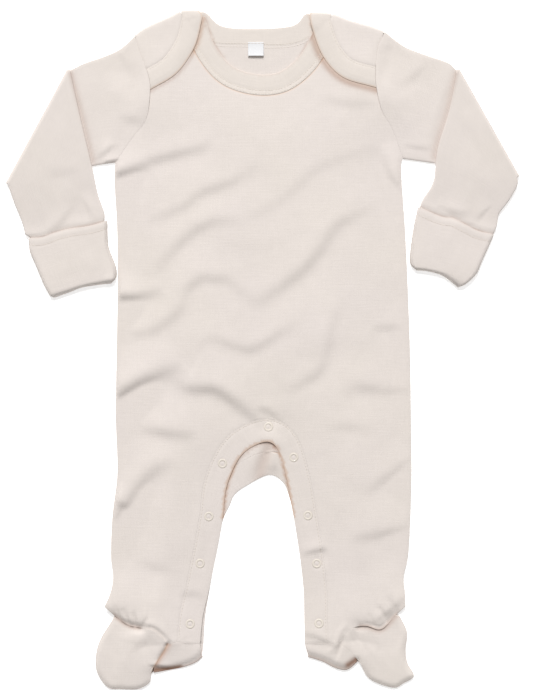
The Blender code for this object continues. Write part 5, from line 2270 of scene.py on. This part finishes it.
@dataclass
class Cap:
    """A press fastener's ring, clenched through the placket."""

    number: int
    finishes: Finishes
    host: Shell
    radius: float = 4.25
    bore: float = 2.35
    clear: float = 0.95
    sink: float = 0.05
    steps: int = 48

    def build(self) -> None:
        """Makes the ring where its node is, level with the cloth round it."""
        x, y = centre_of(f"popper_{self.number}")[:2]
        angles = np.arange(8) * math.pi / 4
        reach = self.radius + self.clear
        spots = [self.host.surface(x + reach * math.cos(a), y + reach * math.sin(a)) for a in angles]
        centre = np.mean([spot for spot, _ in spots], axis=0)
        up = sum((normal for _, normal in spots), Vector()).normalized()
        side = up.cross(Vector((0.0, 1.0, 0.0))).normalized()
        axes = np.array([side, up.cross(side), up])
        turns = 2.0 * math.pi * np.arange(self.steps) / self.steps
        profile = [(self.bore + away, z) for away, z, _ in CAP_BORE]
        profile += [(self.radius - away, z) for away, z, _ in CAP_RIM]
        points = np.array([(r * math.cos(t), r * math.sin(t), z) for r, z in profile for t in turns])
        points[:, 2] -= self.sink
        faces = grid_faces(len(profile), self.steps, ring=True, loop=True)
        made = add_mesh(f"popper_{self.number}_ring", points @ axes + centre, faces, self.finishes.cap)
        edge_darkening = np.repeat([darkening for _, _, darkening in CAP_BORE + CAP_RIM], self.steps)
        write_attribute(made, "warmth", "FLOAT", edge_darkening)
        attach(made, "root")
        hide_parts(f"popper_{self.number}")


@dataclass
class Studio:
    """The plain white floor, the soft light from beyond the neck and the camera straight above."""

    view_height: float = 0.621
    lens: float = 150.0
    sensor: float = 36.0
    centre: Point = (0.00765, 0.00405)
    daylight: float = 0.38
    key_place: Triple = (-0.75, 6.5, 6.6)
    key_size: float = 3.7
    key_power: float = 961.0
    glow: float = 0.45

    def build(self) -> None:
        """Makes the floor, the light, the world and the camera."""
        self.make_floor()
        self.make_light()
        world = bpy.data.worlds.new("studio")
        world.use_nodes = True
        world.node_tree.nodes["Background"].inputs["Color"].default_value = (1.0, 1.0, 1.0, 1.0)
        world.node_tree.nodes["Background"].inputs["Strength"].default_value = self.daylight
        bpy.context.scene.world = world
        bpy.context.scene.view_settings.view_transform = "Standard"
        data = bpy.data.cameras.new("camera")
        data.lens = self.lens
        data.sensor_width = self.sensor
        camera = bpy.data.objects.new("camera", data)
        camera.location = (*self.centre, self.view_height * self.lens / self.sensor)
        bpy.context.scene.collection.objects.link(camera)
        bpy.context.scene.camera = camera

    def make_floor(self) -> None:
        """Makes the floor just under the suit, lit a little from below like a light table."""
        half = 6000.0
        corners = [(-half, -half, -0.2), (half, -half, -0.2), (half, half, -0.2), (-half, half, -0.2)]
        finish = FloorFinish("floor_white", (0.93, 0.93, 0.93), self.glow).make()
        add_mesh("floor", np.array(corners), [(0, 1, 2, 3)], finish)

    def make_light(self) -> None:
        """Makes the square soft light that faces the suit."""
        data = bpy.data.lights.new("key", "AREA")
        data.size = self.key_size
        data.energy = self.key_power
        light = bpy.data.objects.new("key", data)
        light.location = self.key_place
        light.rotation_euler = (-Vector(self.key_place)).to_track_quat("-Z", "Y").to_euler()
        bpy.context.scene.collection.objects.link(light)


def main() -> None:
    """Builds the suit piece by piece, then the studio."""
    logging.basicConfig(level=logging.INFO, format="%(message)s")
    finishes = Finishes()
    drape = Drape()
    stitches = StitchRows(finishes.thread)
    body = Body(finishes, drape)
    body.build()
    body.sew(stitches)
    for side in Side:
        Sleeve(side, finishes, drape).build(stitches)
        FootPieces(side, finishes, body).build()
    NeckLabel(finishes).build(stitches)
    for number in CAPS:
        Cap(number, finishes, body.shells["placket_front"]).build()
    Studio().build()


if __name__ == "__main__":
    main()
